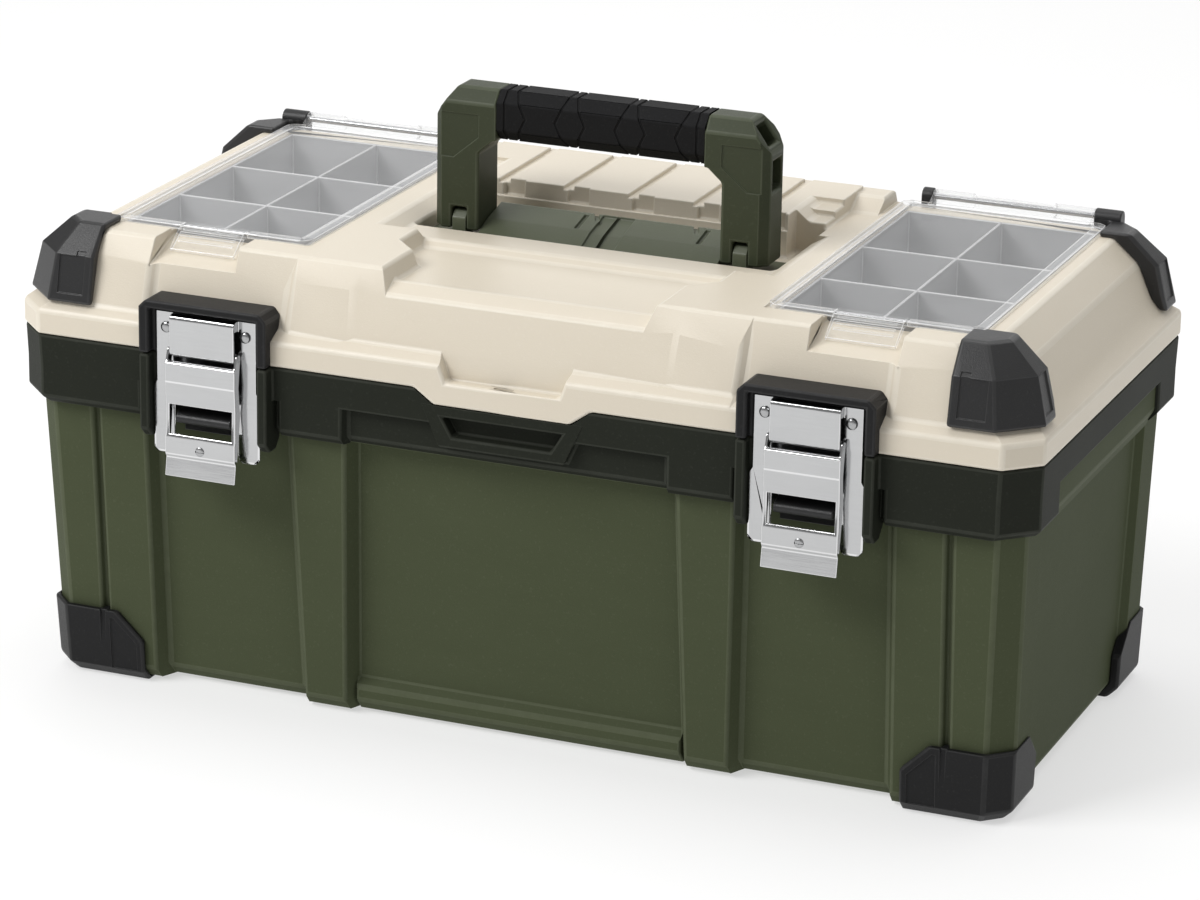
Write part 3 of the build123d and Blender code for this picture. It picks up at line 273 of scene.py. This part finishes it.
mouldedBase = {
    # noises: scale per metre, detail, roughness, stretch; the scales of cloud and grain stand alone
    "cloudScale": 14.0, "cloudNoise": (4.0, 0.55),
    "grainScale": 1500.0, "grainNoise": (2.0, 0.6),
    "flowNoise": (38.0, 3.0, 0.6, (0.35, 1.0, 2.2)),
    "speckNoise": (620.0, 2.0), "speckStops": [(0.60, 0.0), (0.74, 1.0)],
    "scuffNoise": (95.0, 5.0, 0.7, (1.0, 1.0, 6.0)), "scuffStops": [(0.62, 0.0), (0.80, 1.0)],
    "edgeHighlightNoise": (120.0, 3.0), "edgeHighlightLeast": 0.35,               # share of the painted edge highlight that is even
    "cloud": 0.5, "flow": 0.3, "speck": 0.10, "scuff": 0.06, "edgeHighlight": 0.35,   # shares of the second colour; the edge share is a painted highlight on the rounds
    "cloudRough": 0.08, "grainRough": 0.10, "scuffRough": 0.05, "wearRough": 0.06,
    "bump": 0.30, "grainDepth": 0.0004, "flowBump": 0.05, "flowDepth": 0.0006,   # depths in metres
    "ior": 1.5,
}
plasticLooks = {
    "green_plastic": {
        "colour": (0.071, 0.083, 0.046), "shade": (0.057, 0.067, 0.036), "pale": (0.16, 0.175, 0.12),
        "cloudScale": 9.0, "cloud": 0.55, "flow": 0.35, "roughness": 0.58, "gloss": 0.04},
    # a darker copy of the green plastic: painted shade on the handle frame
    "handle_green_painted_shade": {
        "colour": (0.042, 0.050, 0.027), "shade": (0.033, 0.040, 0.021), "pale": (0.13, 0.145, 0.10),
        "edgeHighlight": 0.40, "roughness": 0.46, "bump": 0.28, "gloss": 0.20},
    # a lighter, glossier copy of the green plastic: painted light on the handle base
    "base_green_painted_light": {
        "colour": (0.092, 0.104, 0.064), "shade": (0.076, 0.087, 0.052), "pale": (0.18, 0.195, 0.15),
        "edgeHighlight": 0.40, "roughness": 0.42, "bump": 0.28, "gloss": 0.35},
    "charcoal_plastic": {
        "colour": (0.021, 0.0235, 0.0175), "shade": (0.015, 0.0165, 0.0125), "pale": (0.08, 0.085, 0.07),
        "cloudScale": 10.0, "roughness": 0.54, "gloss": 0.06},
    "beige_plastic": {
        "colour": (0.69, 0.625, 0.515), "shade": (0.645, 0.58, 0.47), "pale": (0.83, 0.79, 0.70),
        "cloudScale": 7.0, "grainScale": 1300.0, "cloud": 0.45, "scuff": 0.08, "edgeHighlight": 0.40,
        "roughness": 0.42, "bump": 0.25, "gloss": 0.45},
    "black_plastic": {
        "colour": (0.013, 0.013, 0.0135), "shade": (0.009, 0.009, 0.0095), "pale": (0.07, 0.07, 0.07),
        "grainScale": 1700.0, "speck": 0.12, "scuff": 0.08, "roughness": 0.40, "bump": 0.32, "gloss": 0.44},
    "guard_black": {
        "colour": (0.013, 0.013, 0.0135), "shade": (0.009, 0.009, 0.0095), "pale": (0.07, 0.07, 0.07),
        "grainScale": 1700.0, "speck": 0.12, "scuff": 0.10, "roughness": 0.46, "bump": 0.32, "gloss": 0.16},
    # its large edge share paints highlights on the rounded tops of the trays' dividers
    "grey_plastic": {
        "colour": (0.38, 0.38, 0.383), "shade": (0.31, 0.31, 0.313), "pale": (0.78, 0.78, 0.78),
        "cloudScale": 16.0, "grainScale": 1400.0, "speck": 0.08, "edgeHighlight": 0.75,
        "roughness": 0.5, "bump": 0.10, "gloss": 0.4},
    "grip_rubber": {
        "colour": (0.011, 0.011, 0.0115), "shade": (0.0075, 0.0075, 0.008), "pale": (0.05, 0.05, 0.05),
        "cloudScale": 22.0, "grainScale": 900.0, "speck": 0.14, "scuff": 0.10, "edgeHighlight": 0.25,
        "roughness": 0.58, "bump": 0.5, "gloss": 0.08},
}


def mouldedPlastic(name, look):
    made = Finish(name)
    cloud = made.noise(look["cloudScale"], *look["cloudNoise"])
    flow = made.noise(*look["flowNoise"])
    grain = made.noise(look["grainScale"], *look["grainNoise"])
    speck = made.step(made.noise(*look["speckNoise"]), look["speckStops"])
    scuff = made.step(made.noise(*look["scuffNoise"]), look["scuffStops"])
    uneven = look["edgeHighlightLeast"] + (1 - look["edgeHighlightLeast"]) * made.noise(*look["edgeHighlightNoise"])
    paintedEdgeHighlight = made.attribute("edgeWear") * uneven
    colour = made.blendColours(cloud * look["cloud"] + flow * look["flow"], look["colour"], look["shade"])
    colour = made.blendColours(speck * look["speck"] + scuff * look["scuff"], colour, look["pale"])
    # the rounds are lightened towards the pale colour: a painted highlight, patchy by noise
    colour = made.blendColours(paintedEdgeHighlight * look["edgeHighlight"], colour, look["pale"])
    rough = look["roughness"] + made.swing(cloud, look["cloudRough"]) + made.swing(grain, look["grainRough"])
    rough = rough - scuff * look["scuffRough"] - paintedEdgeHighlight * look["wearRough"]
    normal = made.bump(grain, look["bump"], look["grainDepth"])
    normal = made.bump(flow, look["flowBump"], look["flowDepth"], normal)
    return made.surface({
        "Base Color": colour, "Roughness": rough, "Normal": normal, "IOR": look["ior"],
        "Specular IOR Level": look["gloss"]})


steelBase = {
    # noises: scale per metre, detail, roughness, stretch; the brush has its scale and stretch in each steel
    "brushNoise": (4.0, 0.6), "cloudNoise": (34.0, 4.0, 0.6),
    "scratchNoise": (240.0, 3.0, 0.6, (9.0, 1.0, 0.4)), "scratchStops": [(0.66, 0.0), (0.76, 1.0)],
    # the edge share and its near-white colour are a painted highlight along the rounded edges
    "cloud": 0.35, "brush": 0.35, "edge": 0.5, "edgeHighlightColour": (0.93, 0.93, 0.935),
    "scratchRough": 0.08, "cloudRough": 0.06, "bump": 0.06, "depth": 0.0003,
}
steelLooks = {
    "latch_steel": {
        "colour": (0.55, 0.553, 0.558), "shade": (0.41, 0.413, 0.418), "roughness": 0.15,
        "brushScale": 60.0, "brushStretch": (1.0, 26.0, 26.0), "brushRough": 0.16},
    "pin_steel": {
        "colour": (0.46, 0.463, 0.468), "shade": (0.30, 0.303, 0.308), "roughness": 0.26,
        "brushScale": 70.0, "brushStretch": (1.0, 30.0, 30.0), "brushRough": 0.18},
}


def platedSteel(name, look):
    made = Finish(name)
    brush = made.noise(look["brushScale"], *look["brushNoise"], look["brushStretch"])
    cloud = made.noise(*look["cloudNoise"])
    scratch = made.step(made.noise(*look["scratchNoise"]), look["scratchStops"])
    edge = made.attribute("edgeWear")
    colour = made.blendColours(cloud * look["cloud"] + brush * look["brush"], look["colour"], look["shade"])
    # rounded edges are lightened to near white: a painted highlight
    colour = made.blendColours(edge * look["edge"], colour, look["edgeHighlightColour"])
    rough = look["roughness"] + made.swing(brush, look["brushRough"]) + scratch * look["scratchRough"]
    rough = rough + made.swing(cloud, look["cloudRough"])
    normal = made.bump(brush, look["bump"], look["depth"])
    return made.surface({"Base Color": colour, "Metallic": 1.0, "Roughness": rough, "Normal": normal})


clearLook = {
    "colour": (0.86, 0.87, 0.885), "edgeHighlightColour": (0.97, 0.975, 0.98),
    "alpha": 0.055, "edgeAlpha": 0.50, "grazingAlpha": 0.45, "grazingPower": 6, "grazingBlend": 0.5,
    "hazeNoise": (26.0, 5.0, 0.6), "hazeAlpha": 0.06, "hazeRough": 0.05,
    "dustNoise": (420.0, 3.0), "dustStops": [(0.60, 0.0), (0.78, 1.0)], "dustAlpha": 0.03, "dustRough": 0.08,
    "roughness": 0.06, "ior": 1.49, "gloss": 0.9,
}


def clearPlastic(name, look):
    made = Finish(name)
    edge = made.attribute("edgeWear")
    haze = made.noise(*look["hazeNoise"])
    dust = made.step(made.noise(*look["dustNoise"]), look["dustStops"])
    # rounded edges and the cover's bead are whitened, a painted highlight; the same mask also makes them
    # more opaque
    colour = made.blendColours(edge, look["colour"], look["edgeHighlightColour"])
    grazing = made.out(made.node("ShaderNodeLayerWeight", None, {"Blend": look["grazingBlend"]}), "Facing")
    alpha = look["alpha"] + made.swing(haze, look["hazeAlpha"]) + dust * look["dustAlpha"]
    alpha = alpha + edge * look["edgeAlpha"] + grazing ** look["grazingPower"] * look["grazingAlpha"]
    rough = look["roughness"] + haze * look["hazeRough"] + dust * look["dustRough"]
    material = made.surface({
        "Base Color": colour, "Roughness": rough, "Alpha": alpha, "IOR": look["ior"],
        "Specular IOR Level": look["gloss"]})
    material.surface_render_method = "BLENDED"
    return material


def paleFloor(name, look):
    made = Finish(name)
    cloud = made.noise(look["floorCloud"])
    colour = made.blendColours(cloud * look["floorMix"], look["floorColour"], look["floorShade"])
    rough = look["floorRoughness"] + cloud * look["cloudRough"]
    return made.surface({
        "Base Color": colour, "Roughness": rough, "Specular IOR Level": look["floorGloss"],
        "Emission Color": (1, 1, 1, 1), "Emission Strength": look["floorGlow"]})


finishes = {name: mouldedPlastic(name, {**mouldedBase, **look}) for name, look in plasticLooks.items()}
finishes.update({name: platedSteel(name, {**steelBase, **look}) for name, look in steelLooks.items()})
finishes["clear_plastic"] = clearPlastic("clear_plastic", clearLook)
floor.data.materials.append(paleFloor("paleFloor", studio))

# pieces whose finish is a variant of their slot's: the handle frame's green is a darker copy, painted shade,
# and the handle base's a lighter copy, painted light
guardNodes = [node for node in nodes if node.startswith(("foot_guard", "latch_bezel"))]
finishOf = {node: finishes[slot] for node, slot in slotOf.items()}
finishOf.update({"handle_frame": finishes["handle_green_painted_shade"], "handle_base": finishes["base_green_painted_light"]})
finishOf.update({node: finishes["guard_black"] for node in guardNodes})
print("stage: materials,", len(finishes))

# rounded pieces over the frame

rounding = {
    # node name: edge round in millimetres, segments, and an option
    # measured: narrow flats limit the rounds beside them; creases: shallow creases are rounded too
    "tub": (1.8, 3, "measured"), "rim_band": (1.3, 3, "measured"), "lid_shell": (1.9, 3, "measured"),
    "handle_frame": (1.7, 3, "measured"), "latch_bezel": (1.3, 3, "measured"),
    "lid_bumper_front": (2.0, 3), "lid_bumper_rear": (2.0, 3),
    "foot_guard_front": (1.6, 3), "foot_guard_rear": (1.6, 3),
    "latch_plate": (0.45, 2), "latch_lever": (0.5, 2, "creases"), "keeper": (0.5, 2),
    "organiser_tray": (0.55, 2), "organiser_lid": (0.7, 2), "organiser_catch": (0.45, 2),
    "organiser_knuckle": (0.6, 2),
}
roundingRules = {
    "weld": 0.00012,         # metres, corner points nearer than this are one
    "flat": 1.0,             # degrees, faces flatter than this are one
    "sharp": 24.0,           # degrees, edges sharper than this are rounded
    "room": 0.42,            # share of the shortest neighbouring edge that a round may take
    "inLine": 0.99,          # cosine, edges that run on in the same line take no room
    "level": 1.5,            # degrees, faces that meet at less than this lie level
    "strides": 12,           # level faces that are crossed at most to measure a flat
    "touching": 1e-7,        # metres, a run shorter than this doesn't count
    "open": 1.0,             # metres, room where no flat is found
    "samples": 9,            # places along an edge where the flats beside it are measured
    "central": 0.2,          # share of an edge either side of its middle where the first flat counts
    "stray": 0.62,           # share of its width that a round may move off the surface
    "settle": 6.0,           # times that reach, how far a point may go back to a neighbour
    "shrunk": 1e-6,          # metres, edges shorter than this are closed
    "crease": 2.5,           # degrees, broad faces that meet at more than this keep a crisp line
    "broad": 0.0032,         # metres, mean width of a broad face
}
drainCuts = {
    # metres: the cuts each side of the drain slot, and the box that holds the sill they divide
    "reach": 0.0085, "low": (-0.06, -0.142, 0.183), "high": (0.06, -0.125, 0.199),
    "level": 0.9,            # upward part of a level face's normal
}


def cutBesideDrain(piece, look):
    # the sill of the finger lip is divided each side of its drain slot, so its rounds run straight
    def onSill(face, centre):
        inside = all(low < at < high for low, at, high in zip(look["low"], centre, look["high"]))
        return inside and abs(face.normal.z) > look["level"]

    for way in (-1, 1):
        selectFaces(piece, onSill)
        bpy.ops.mesh.bisect(plane_co=(way * look["reach"], 0, 0), plane_no=(1, 0, 0))


def cleanCopy(node, name):
    # a node's mesh with its points merged and its flat faces joined
    piece = bpy.data.objects.new(name, nodes[node].data.copy())
    bpy.context.scene.collection.objects.link(piece)
    piece.data.materials.clear()
    selectOnly(piece)
    bpy.ops.mesh.customdata_custom_splitnormals_clear()
    bpy.ops.object.mode_set(mode="EDIT")
    bpy.ops.mesh.select_all(action="SELECT")
    bpy.ops.mesh.remove_doubles(threshold=roundingRules["weld"])
    bpy.ops.mesh.dissolve_limited(angle_limit=math.radians(roundingRules["flat"]))
    if node == "lid_shell":
        cutBesideDrain(piece, drainCuts)
    bpy.ops.mesh.select_all(action="SELECT")
    bpy.ops.mesh.vert_connect_concave()
    bpy.ops.object.mode_set(mode="OBJECT")
    return piece


def meanWidth(face):
    return face.calc_area() / max(edge.calc_length() for edge in face.edges)


def isCrease(edge):
    # a bend between two broad faces, however shallow
    bend = edge.calc_face_angle(0) > math.radians(roundingRules["crease"])
    return bend and min(map(meanWidth, edge.link_faces)) > roundingRules["broad"]


def flatAcross(edge, face, start):
    # how far the flat beside an edge runs, square to it: over its first face, and over all that lie level
    loop = next(loop for loop in face.loops if loop.edge is edge)
    inward = face.normal.cross(loop.link_loop_next.vert.co - loop.vert.co).normalized()
    runs = []
    for stride in range(roundingRules["strides"]):
        side = face.normal.cross(inward)
        hits = []
        for loop in face.loops:
            first, second = loop.vert.co, loop.link_loop_next.vert.co
            before, after = (first - start).dot(side), (second - start).dot(side)
            if loop.edge is edge or before * after > 0 or before == after:
                continue
            place = first + (second - first) * (before / (before - after))
            hits.append(((place - start).dot(inward), loop.edge, place))
        hits = [hit for hit in hits if hit[0] > roundingRules["touching"]]
        if not hits:
            break
        run, edge, start = min(hits, key=lambda hit: hit[0])
        runs.append(run)
        if len(edge.link_faces) != 2 or edge.calc_face_angle(0) > math.radians(roundingRules["level"]):
            break
        face = next(other for other in edge.link_faces if other is not face)
    return (runs[0], sum(runs)) if runs else (roundingRules["open"], roundingRules["open"])


def roomBeside(edge):
    # the shortest edge that meets this one at an angle
    along = (edge.verts[1].co - edge.verts[0].co).normalized()
    room = edge.calc_length()
    for corner in edge.verts:
        for other in corner.link_edges:
            line = (other.verts[1].co - other.verts[0].co).normalized()
            if other is not edge and abs(line.dot(along)) < roundingRules["inLine"]:
                room = min(room, other.calc_length())
    return room


def roomAcross(edge):
    # the narrowest flat each side; along its middle a round also stays on its first face
    room = roundingRules["open"]
    for face in edge.link_faces:
        for sample in range(roundingRules["samples"]):
            share = (sample + 0.5) / roundingRules["samples"]
            first, flat = flatAcross(edge, face, edge.verts[0].co.lerp(edge.verts[1].co, share))
            room = min(room, flat)
            if abs(share - 0.5) < roundingRules["central"]:
                room = min(room, first * 2)
    return room


def weighEdges(piece, width, option):
    # each sharp edge gets as much of the round as there is room for
    shape = bmesh.new()
    shape.from_mesh(piece.data)
    weight = shape.edges.layers.float.new("bevel_weight_edge")
    for edge in shape.edges:
        if len(edge.link_faces) != 2:
            continue
        sharp = edge.calc_face_angle(0) >= math.radians(roundingRules["sharp"])
        if not sharp and not (option == "creases" and isCrease(edge)):
            continue
        room = roomBeside(edge)
        if option == "measured":
            room = min(room, roomAcross(edge))
        edge[weight] = min(1.0, roundingRules["room"] * room / width)
    shape.to_mesh(piece.data)
    shape.free()


def settleStrays(mesh, surface, reach):
    # points of a round that left the piece's surface go back to a settled neighbour or to the surface
    shape = bmesh.new()
    shape.from_mesh(mesh)
    strays = [point for point in shape.verts if surface.find_nearest(point.co)[3] > reach]
    while strays:
        loose = set(strays)
        left = []
        for point in strays:
            beside = [edge.other_vert(point) for edge in point.link_edges]
            beside = [other for other in beside if other not in loose]
            if beside:
                nearest = min(beside, key=lambda other: (other.co - point.co).length).co
                near = (nearest - point.co).length < roundingRules["settle"] * reach
                point.co = nearest if near else surface.find_nearest(point.co)[0]
                loose.discard(point)
            else:
                left.append(point)
        strays = left if len(left) < len(strays) else []
    bmesh.ops.dissolve_degenerate(shape, dist=roundingRules["shrunk"], edges=shape.edges)
    shape.to_mesh(mesh)
    shape.free()


def keepCreases(mesh):
    # shallow bends between broad faces stay crisp, narrow facets of barrels shade round
    shape = bmesh.new()
    shape.from_mesh(mesh)
    for edge in shape.edges:
        if len(edge.link_faces) == 2:
            flat = all(face.material_index == 0 for face in edge.link_faces)
            edge.smooth = not (flat and isCrease(edge))
    shape.to_mesh(mesh)
    shape.free()


def roundEdges(piece, width, segments, option=None):
    # faces of the rounds get the second of two empty material places, until it is read as the mask of the
    # painted edge highlight
    width = width * millimetre
    weighEdges(piece, width, option)
    mesh = piece.data
    mesh.shade_smooth()
    for finish in (None, None):
        mesh.materials.append(finish)
    surface = BVHTree.FromPolygons([point.co for point in mesh.vertices],
                                   [face.vertices for face in mesh.polygons])
    bevel = piece.modifiers.new("edgeRound", "BEVEL")
    bevel.limit_method = "WEIGHT"
    bevel.width = width
    bevel.segments = segments
    bevel.use_clamp_overlap = False
    bevel.loop_slide = False
    bevel.material = 1
    selectOnly(piece)
    bpy.ops.object.modifier_apply(modifier=bevel.name)
    settleStrays(piece.data, surface, width * roundingRules["stray"])
    keepCreases(piece.data)
    shading = piece.modifiers.new("evenShading", "WEIGHTED_NORMAL")
    shading.keep_sharp = True
    bpy.ops.object.modifier_apply(modifier=shading.name)


def markEdgeHighlight(piece):
    # faces of the rounds carry the mask of the painted edge highlight that the materials read
    edgeHighlight = piece.data.attributes.new("edgeWear", "FLOAT", "FACE")
    for face, value in zip(piece.data.polygons, edgeHighlight.data):
        value.value = float(face.material_index)
        face.material_index = 0
    piece.data.materials.clear()


def dress(piece, node):
    piece.data.materials.append(finishOf[node])
    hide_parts(node)
    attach(piece, bodyOf[node])


def roundedPiece(node, width, segments, option=None):
    piece = cleanCopy(node, node + "_rounded")
    roundEdges(piece, width, segments, option)
    markEdgeHighlight(piece)
    dress(piece, node)
    return piece


roundedPieces = {}
for family, settings in rounding.items():
    for node in (family, *(f"{family}_{side}" for side in sides)):
        if node in nodes:
            roundedPieces[node] = roundedPiece(node, *settings)
print("stage: rounded pieces,", len(roundedPieces))

# clear covers

coverBead = {"width": 0.0062, "level": 0.30}   # metres in from the outline, share of the painted edge highlight and opacity


def markBead(piece, node, look):
    low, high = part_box(node)
    edgeHighlight = piece.data.attributes["edgeWear"]
    for face, value in zip(piece.data.polygons, edgeHighlight.data):
        corners = [piece.data.vertices[index].co for index in face.vertices]
        spans = [(co.x - low[0], high[0] - co.x, co.y - low[1], high[1] - co.y) for co in corners]
        if min(max(span) for span in zip(*spans)) < look["width"]:
            value.value = max(value.value, look["level"])


for side in sides:
    cover = f"organiser_lid_{side}"
    markBead(roundedPieces[cover], cover, coverBead)
print("stage: cover beads")

# grip sleeve

gripLook = {
    "rings": 6, "pitch": 0.0168, "lean": 0.0062, "endRing": 0.0045,   # metres
    "grooveWidth": 0.0013, "grooveDepth": 0.0008,
    "skin": 0.36,                  # share of the sleeve's depth beyond which a face is outside
    "endFace": 0.5,                # faces that look along the sleeve by more than this are its ends
    "round": 0.4, "segments": 2,   # millimetres
}


def selectSleeve(piece, part):
    # outer faces of the sleeve: all of them, or those above or below its middle height
    bpy.ops.mesh.select_all(action="DESELECT")
    low, high = (Vector(corner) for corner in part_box("handle_grip"))
    middle = (low + high) / 2
    skin = (high.y - low.y) * gripLook["skin"]
    shape = bmesh.from_edit_mesh(piece.data)
    for face in shape.faces:
        centre = face.calc_center_median()
        rise = centre.z - middle.z
        outside = max(abs(centre.y - middle.y), abs(rise)) > skin
        wanted = part == "all" or (rise > 0) == (part == "upper")
        if wanted and outside and abs(face.normal.x) < gripLook["endFace"]:
            face.select_set(True)
    bmesh.update_edit_mesh(piece.data)
    return middle


def cutRing(piece, part, place, slope):
    # the cut leans by the slope along the sleeve for each metre of height
    middle = selectSleeve(piece, part)
    bpy.ops.mesh.bisect(plane_co=(place, 0, middle.z), plane_no=(1, 0, -slope))
    bpy.ops.mesh.mark_seam()


def makeGripSleeve(look):
    low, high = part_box("handle_grip")
    slope = look["lean"] / ((high[2] - low[2]) / 2)
    piece = cleanCopy("handle_grip", "handle_grip_sleeve")
    bpy.ops.object.mode_set(mode="EDIT")
    bpy.ops.mesh.select_mode(type="EDGE")
    middle = selectSleeve(piece, "all")
    bpy.ops.mesh.bisect(plane_co=middle, plane_no=(0, 0, 1))
    for ring in range(look["rings"]):
        place = (ring - (look["rings"] - 1) / 2) * look["pitch"]
        way = 1 if ring % 2 else -1
        cutRing(piece, "upper", place, way * slope)
        cutRing(piece, "lower", place, -way * slope)
    for place in (low[0] + look["endRing"], high[0] - look["endRing"]):
        cutRing(piece, "all", place, 0)
    bpy.ops.mesh.select_all(action="DESELECT")
    shape = bmesh.from_edit_mesh(piece.data)
    for edge in shape.edges:
        edge.select_set(edge.seam)
    bmesh.update_edit_mesh(piece.data)
    bpy.ops.mesh.bevel(offset=look["grooveWidth"] / 2, segments=1, affect="EDGES")
    bpy.ops.mesh.extrude_region_shrink_fatten(
        TRANSFORM_OT_shrink_fatten={"value": -look["grooveDepth"]})
    bpy.ops.mesh.select_all(action="SELECT")
    bpy.ops.mesh.mark_seam(clear=True)
    bpy.ops.object.mode_set(mode="OBJECT")
    fixOrder(piece)
    roundEdges(piece, look["round"], look["segments"])
    for point in piece.data.vertices:
        point.co.z = min(point.co.z, high[2])   # the rounds stay level with the handle's top
    markEdgeHighlight(piece)
    dress(piece, "handle_grip")
    return piece


gripSleeve = makeGripSleeve(gripLook)
print("stage: grip sleeve,", len(gripSleeve.data.polygons), "faces")

# rivets and screws of the latches

headLook = {
    "sides": 28,
    "profile": [   # share of the radius, share of the height
        (1.0, 0.30), (0.95, 0.52), (0.82, 0.74), (0.56, 0.92), (0.22, 1.0)],
    "rivet": (0.0030, 0.0016), "screw": (0.0025, 0.0008),   # metres, radius and height
    "slotWidth": 0.0009, "slotDepth": 0.0005,
    "outward": 0.2,      # faces that look out by more than this are cut for the slot
    "smooth": 35.0,      # degrees, faces of a screw that shade into each other
}


def makeHead(name, place, radius, height):
    # a disc is drawn out of the plate in steps that close to a dome
    bpy.ops.object.select_all(action="DESELECT")
    bpy.ops.mesh.primitive_circle_add(
        vertices=headLook["sides"], radius=radius, fill_type="NGON", location=place,
        rotation=(math.pi / 2, 0, 0))
    head = bpy.context.active_object
    head.name = name
    bpy.ops.object.transform_apply(location=True, rotation=True, scale=True)
    bpy.ops.object.mode_set(mode="EDIT")
    bpy.ops.mesh.select_mode(type="FACE")
    bpy.ops.mesh.select_all(action="SELECT")
    size, rise = 1.0, 0.0
    for share, level in headLook["profile"]:
        bpy.ops.mesh.extrude_region_move(TRANSFORM_OT_translate={"value": (0, (rise - level) * height, 0)})
        bpy.ops.transform.resize(value=(share / size, 1, share / size), center_override=place)
        size, rise = share, level
    bpy.ops.mesh.select_all(action="SELECT")
    bpy.ops.mesh.normals_make_consistent(inside=False)
    bpy.ops.object.mode_set(mode="OBJECT")
    fixOrder(head)
    head.data.shade_smooth()
    return head


def cutSlot(head, place):
    half = headLook["slotWidth"] / 2
    bpy.ops.object.mode_set(mode="EDIT")
    for way in (-1, 1):
        bpy.ops.mesh.select_all(action="SELECT")
        bpy.ops.mesh.bisect(plane_co=(0, 0, place[2] + way * half), plane_no=(0, 0, 1))
    bpy.ops.mesh.select_all(action="DESELECT")
    shape = bmesh.from_edit_mesh(head.data)
    for face in shape.faces:
        between = abs(face.calc_center_median().z - place[2]) < half
        face.select_set(between and face.normal.y < -headLook["outward"])
    bmesh.update_edit_mesh(head.data)
    bpy.ops.mesh.extrude_region_move(TRANSFORM_OT_translate={"value": (0, headLook["slotDepth"], 0)})
    bpy.ops.object.mode_set(mode="OBJECT")
    fixOrder(head)


def makeFasteners(side):
    low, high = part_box(f"latch_rivets_{side}")
    inset = (high[2] - low[2]) / 2
    middle = low[2] + inset
    rivets = [makeHead(f"latch_rivets_{side}_domed", (x, high[1], middle), *headLook["rivet"])
              for x in (low[0] + inset, high[0] - inset)]
    selectOnly(rivets[0])
    rivets[1].select_set(True)
    bpy.ops.object.join()
    dress(rivets[0], f"latch_rivets_{side}")
    low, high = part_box(f"lever_screw_{side}")
    place = ((low[0] + high[0]) / 2, high[1], (low[2] + high[2]) / 2)
    screw = makeHead(f"lever_screw_{side}_slotted", place, *headLook["screw"])
    cutSlot(screw, place)
    selectOnly(screw)
    bpy.ops.object.shade_smooth_by_angle(angle=math.radians(headLook["smooth"]))
    dress(screw, f"lever_screw_{side}")


for side in sides:
    makeFasteners(side)
print("stage: rivets and screws")

# handle base

baseLook = {
    # metres
    "rise": 0.003, "level": 0.96,                         # crown above the plate, upward part of its normal
    "fold": -0.001, "dip": 0.0026,                        # line of its fold, how far its front edge dips
    "middle": (-0.0085, 0.0095), "middleDepth": 0.0016,   # sunken bridge between the two blocks
    "slots": ((-0.0185, -0.0158), (0.0500, 0.0527)), "slotRun": (0.001, 0.0165), "slotDepth": 0.0018,
    "round": 0.6, "segments": 2,                          # millimetres
}


def makeHandleBase(look):
    # the crown is folded along its length, its middle sunk and a slot cut at the end of each block
    piece = cleanCopy("handle_base", "handle_base_panelled")
    low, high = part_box("handle_base")
    foot = low[2] + look["rise"]
    bpy.ops.object.mode_set(mode="EDIT")

    def onCrown(face, centre):
        return face.normal.z > look["level"] and centre.z > foot

    def inStrip(face, centre, across, along):
        return onCrown(face, centre) and across[0] < centre.x < across[1] and along[0] < centre.y < along[1]

    lines = [(x, 0) for x in (*look["middle"], *(x for slot in look["slots"] for x in slot))]
    lines += [(y, 1) for y in (look["fold"], *look["slotRun"])]
    for place, axis in lines:
        normal = [0, 0, 0]
        normal[axis] = 1
        selectFaces(piece, onCrown)
        bpy.ops.mesh.bisect(plane_co=[place * part for part in normal], plane_no=normal)
    hollows = [(look["middle"], (low[1], high[1]), look["middleDepth"])]
    hollows += [(slot, look["slotRun"], look["slotDepth"]) for slot in look["slots"]]
    for across, along, depth in hollows:
        selectFaces(piece, lambda face, centre: inStrip(face, centre, across, along))
        bpy.ops.mesh.extrude_region_move(TRANSFORM_OT_translate={"value": (0, 0, -depth)})
    bpy.ops.object.mode_set(mode="OBJECT")
    fixOrder(piece)
    span = look["fold"] - low[1]
    for point in piece.data.vertices:
        if point.co.z > foot and point.co.y < look["fold"]:
            point.co.z -= look["dip"] * (look["fold"] - point.co.y) / span
    roundEdges(piece, look["round"], look["segments"])
    markEdgeHighlight(piece)
    dress(piece, "handle_base")
    return piece


handleBase = makeHandleBase(baseLook)
print("stage: handle base,", len(handleBase.data.polygons), "faces")

# finishes on the nodes themselves

for node, shape in nodes.items():
    shape.data.materials.clear()
    shape.data.materials.append(finishOf[node])
print("stage: plain nodes dressed")
